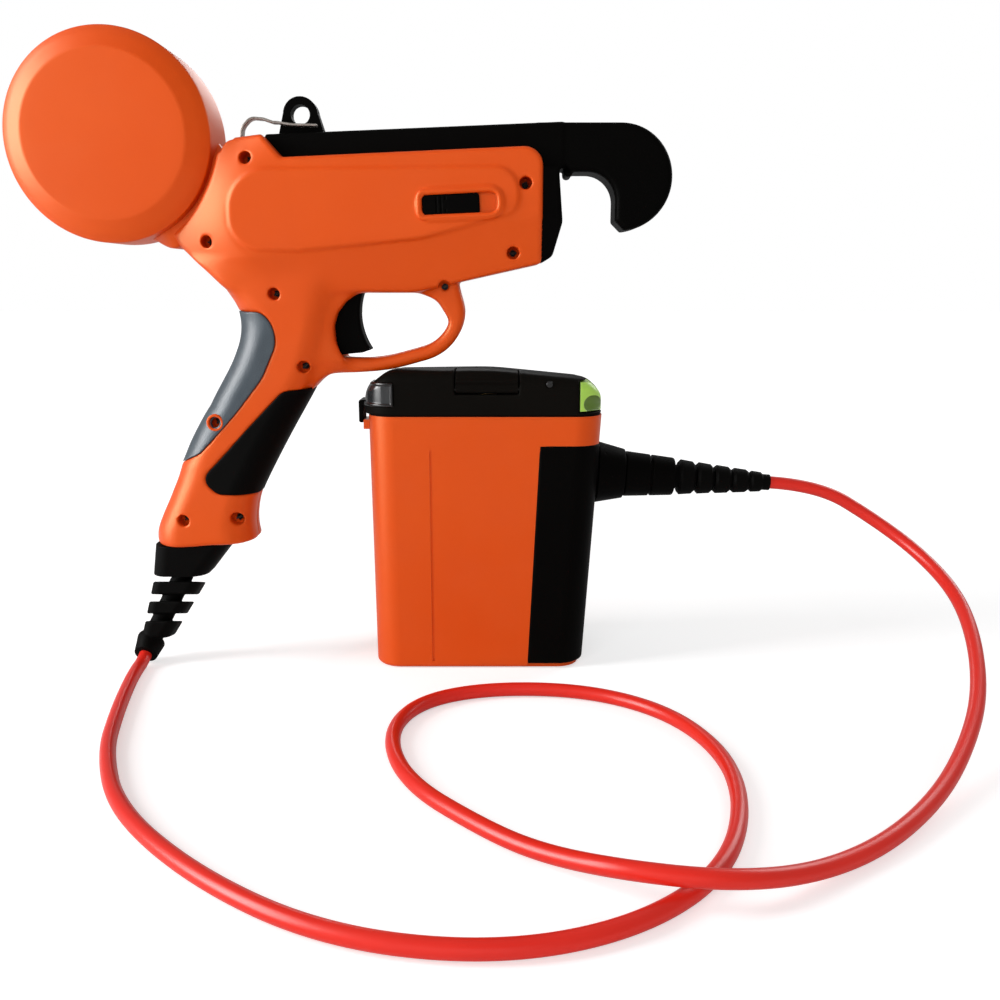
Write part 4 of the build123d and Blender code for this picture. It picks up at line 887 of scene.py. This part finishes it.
def addNeck(work, centre, look):
    low, full = look["radii"]
    begin, stop = look["turn"]
    least = look["endShare"]
    rings = []
    for degrees in np.linspace(begin, stop, look["steps"]):
        share = min(ramp(degrees, begin, begin + look["fade"]), 1 - ramp(degrees, stop - look["fade"], stop))
        high = low + look["endRise"] + (full - low - look["endRise"]) * share
        lip = min(look["lip"], 0.5 * (high - low))
        half = look["half"] * (least + (1 - least) * share)
        section = [(low, -half), (high - lip, -half), (high, -half + lip), (high, half - lip),
                   (high - lip, half), (low, half)]
        turn = math.radians(degrees)
        rings.append([turnedCorner(work, centre, turn, *corner) for corner in section])
    skin(work, rings)
    work.faces.new(rings[0])
    work.faces.new(rings[-1])


def drumCase(look):
    wall, hub, bore, inner = look["wall"], look["hub"], look["hubBore"], look["innerRound"]
    inside, floor, rim = look["radius"] - wall, look["edge"] - wall, look["seamRound"]
    outline = drumOutside(look, 1)
    outline += [(look["radius"], look["seam"], rim), (inside, look["seam"], rim),
                (inside, look["half"] - inner, inner), (look["face"] - wall, floor, inner),
                (hub, floor, look["hubRound"]), (hub, look["hubEnd"], look["lipRound"]),
                (bore, look["hubEnd"], rim), (bore, floor, 0), (0, floor, 0)]
    work = lathe(softCorners(outline), look["centre"])
    addNeck(work, look["centre"], neckLook)
    return finished(work, "drumCaseShell", look["sharp"])


dress("drum_cover", drumCover(drumLook), "drumCoverShell", "orangePlastic")
dress("drum_case", drumCase(drumLook), "drumCaseShell", "orangePlastic")
print("drum turned")

# pieces whose edges are softened as the mould leaves them
eyeSides = {"half": 4.0, "outlines": [[(-98.9, 289.0), (-95.0, 284.6), (-95.0, 278.8), (-101.5, 278.4)],
                                      [(-81.7, 289.0), (-85.6, 284.6), (-85.6, 279.0), (-78.6, 279.2)]]}
bootShear = {"slope": -0.33, "low": (11.0, 16.0), "high": (46.5, 50.0)}
capDrop = {"across": (-12.0, 24.0), "drop": 2.4, "from": (148.0, 156.0)}
ribbonLook = {"along": (-113.0, -100.0), "rise": 2.3, "shift": 3.2, "shiftFrom": (266.0, 276.0),
              "shiftEnd": (-112.0, -98.0), "thicker": 0.25}
thumbLook = {"middle": (-14.9, 243.9), "half": (14.0, 5.0), "tilt": 2.5, "sunk": 0.15, "deep": 1.6,
             "corner": [(4.2, 0.0), (1.5, 0.0), (0.45, 0.45), (0.0, 1.5), (0.0, 4.2), (4.2, 4.2)]}
panelLook = {"corner": [(29.79, 118.6), (30.0, 123.0), (34.6, 123.0), (34.6, 118.6)], "above": 110.0,
             "leftOf": 45.0, "deep": 0.95}
windowLook = {"rim": 1.5, "fade": 0.5, "proud": 0.7, "painted": 0.3}
coverLook = {"lip": 157.0, "spread": 1.2, "proud": 1.3, "free": 0.12, "facing": (0.3, 0.7)}
scoopLook = {"spot": (57.4, 144.9), "half": (5.0, 4.6), "depth": 1.5, "curve": 0.6, "free": 0.25, "front": -8.0,
             "painted": 0.02}
outwardFrom = (0.2, 0.6)


def gripShape(mesh):
    return handleShape(places(mesh))


def bootShape(mesh):
    # the plates lean so that their slots run along the line of sight
    spots = places(mesh)
    x, y, z = spots.T
    share = ramp(z, *bootShear["low"]) * (1 - ramp(z, *bootShear["high"]))
    spots[:, 2] += bootShear["slope"] * (y - toolY) * share
    return spots


def capShape(mesh):
    # the crown falls away to the back
    spots = places(mesh)
    drop = capDrop["drop"] * ramp(spots[:, 1], *capDrop["across"])
    spots[:, 2] -= drop * ramp(spots[:, 2], *capDrop["from"])
    return spots


def ribbonShape(mesh):
    spots = places(mesh) + normals(mesh) * ribbonLook["thicker"]
    x, y, z = spots.T
    shift = ramp(z, *ribbonLook["shiftFrom"]) * (1 - ramp(x, *ribbonLook["shiftEnd"]))
    rise = ramp(x, *ribbonLook["along"])
    spots[:, 0] += ribbonLook["shift"] * shift
    spots[:, 2] += ribbonLook["rise"] * rise
    return spots


def thumbCorners(look):
    # fills the thumb's round corners out to small ones
    turn = math.radians(look["tilt"])
    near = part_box("mode_slider")[0][1] / mm + look["sunk"]
    (middleX, middleZ), (halfX, halfZ) = look["middle"], look["half"]
    made = []
    for signX, signZ in ((-1, -1), (-1, 1), (1, -1), (1, 1)):
        flat = [(signX * (halfX - inX), signZ * (halfZ - inZ)) for inX, inZ in look["corner"]]
        outline = [(middleX + x * math.cos(turn) - z * math.sin(turn),
                    middleZ + x * math.sin(turn) + z * math.cos(turn)) for x, z in flat]
        made.append((outline, near, near + look["deep"]))
    return made


def panelCorners(look):
    # fills the corner of the panel's step on the front and the back
    spots = places(nodes["battery_side_panel"].data)
    face = spots[(spots[:, 2] > look["above"]) & (spots[:, 0] < look["leftOf"]), 1].max()
    return [(look["corner"], side, side * look["deep"]) for side in (-face, face)]


def outward(mesh):
    # 1 where a face looks away from the pack's middle
    spots, facing = places(mesh)[:, :2], normals(mesh)[:, :2]
    return ramp(np.sum(spots * facing, axis=1) / np.linalg.norm(spots, axis=1), *outwardFrom)


def windowRim(spots):
    low, high = (np.array(corner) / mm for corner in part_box("level_window"))
    x, y, z = spots.T
    inside = np.minimum.reduce([high[2] - z, z - low[2], high[0] - x, high[1] - y])
    return 1 - ramp(inside, windowLook["rim"] - windowLook["fade"], windowLook["rim"])


def windowShape(mesh):
    spots = places(mesh)
    return spots + normals(mesh) * (windowLook["proud"] * windowRim(spots) * outward(mesh))[:, None]


def coverShape(mesh):
    spots, facing = places(mesh), normals(mesh)
    lip = np.exp(-((spots[:, 2] - coverLook["lip"]) / coverLook["spread"]) ** 2)
    lip *= ramp(-facing[:, 1], *coverLook["facing"])
    spots[:, 1] -= coverLook["proud"] * lip
    return spots - facing * coverLook["free"]


def scoopShare(spots):
    (spotX, spotZ), (halfX, halfZ) = scoopLook["spot"], scoopLook["half"]
    away = np.hypot((spots[:, 0] - spotX) / halfX, (spots[:, 2] - spotZ) / halfZ)
    return np.clip(1 - away ** 2, 0, 1) * (spots[:, 1] < scoopLook["front"])


def buttonShape(mesh):
    spots = places(mesh)
    scoop = scoopLook["depth"] * scoopShare(spots) ** scoopLook["curve"] * outward(mesh)
    return spots - normals(mesh) * (scoopLook["free"] + scoop)[:, None]


mouldBase = {"finish": "blackPlastic", "rounds": 2}
mouldedLooks = {
    "level_window": {"piece": "levelWindow", "finish": "smokedWindow", "voxel": 0.25, "rounds": 1,
                     "shape": windowShape,
                     "second": ("blackGloss", lambda spots: windowRim(spots) > windowLook["painted"])},
    "port_cover": {"piece": "portCover", "finish": "capPlastic", "voxel": 0.3, "shape": coverShape},
    # faces inside the scoop get a darker green: painted shade in the hollow
    "release_button": {"piece": "releaseButton", "finish": "greenPlastic", "voxel": 0.25, "shape": buttonShape,
                       "second": ("greenScoopPaintedShade", lambda spots: scoopShare(spots) > scoopLook["painted"])},
    "hook_frame": {"piece": "hookFrame", "voxel": 0.6},
    "hanging_eye": {"piece": "hangingEye", "voxel": 0.3,
                    "fillers": [(outline, toolY - eyeSides["half"], toolY + eyeSides["half"])
                                for outline in eyeSides["outlines"]]},
    "trigger": {"piece": "triggerBlade", "voxel": 0.35},
    "mode_slider": {"piece": "sliderThumb", "voxel": 0.2, "fillers": thumbCorners(thumbLook)},
    "rear_grip": {"piece": "rearGripPad", "finish": "greyRubber", "voxel": 0.45, "rounds": 3,
                  "shape": gripShape},
    "front_grip": {"piece": "frontGripPad", "finish": "blackRubber", "voxel": 0.45, "rounds": 3,
                   "shape": gripShape},
    "cable_boot": {"piece": "cableBoot", "finish": "blackRubber", "voxel": 0.32, "rounds": 1,
                   "shape": bootShape},
    "battery_cap": {"piece": "batteryCap", "finish": "capPlastic", "voxel": 0.55, "shape": capShape},
    "battery_side_panel": {"piece": "batterySidePanel", "voxel": 0.6, "rounds": 1,
                           "fillers": panelCorners(panelLook)},
    "plug_ring": {"piece": "plugRing", "voxel": 0.35, "rounds": 1},
    "strap_clip": {"piece": "strapClip", "voxel": 0.2},
    "tie_ribbon": {"piece": "tieRibbon", "finish": "wiredRibbon", "voxel": 0.2, "rounds": 1,
                   "shape": ribbonShape},
}
for nodeName, ownLook in mouldedLooks.items():
    look = {**mouldBase, **ownLook}
    piece = dress(nodeName, moulded(nodeName, look, look.get("shape")), look["piece"], look["finish"])
    if "second" in look:
        markFaces(piece.data, *look["second"])
print("moulded pieces:", len(mouldedLooks))

# finishes for the pieces that keep their CAD shape
keptFinishes = {
    "blackPlastic": ["battery_socket", "trigger_switch", "slide_switch"],
    "blackRubber": ["cap_seal", "pinch_roller"],
    "orangePlastic": ["battery_case"],
    "blackGloss": ["status_lens"],
    "blackSteel": ["port_cover_pin"],
    "brightSteel": ["spool_axle", "trigger_pin", "trigger_spring", "button_spring", "pinch_pin",
                    "twist_motor", "feed_motor", "feed_roller", "twist_head"],
    "wiredRibbon": ["ribbon_roll"],
    "whitePlastic": ["spool", "cell_holders"],
    "boardGreen": ["control_board", "battery_board"],
    "cellWrap": ["battery_cells"],
    "portBrass": ["charge_port"],
}
for finishName, nodeNames in keptFinishes.items():
    for nodeName in nodeNames:
        setFinish(nodes[nodeName].data, finishName)
print("finishes placed")
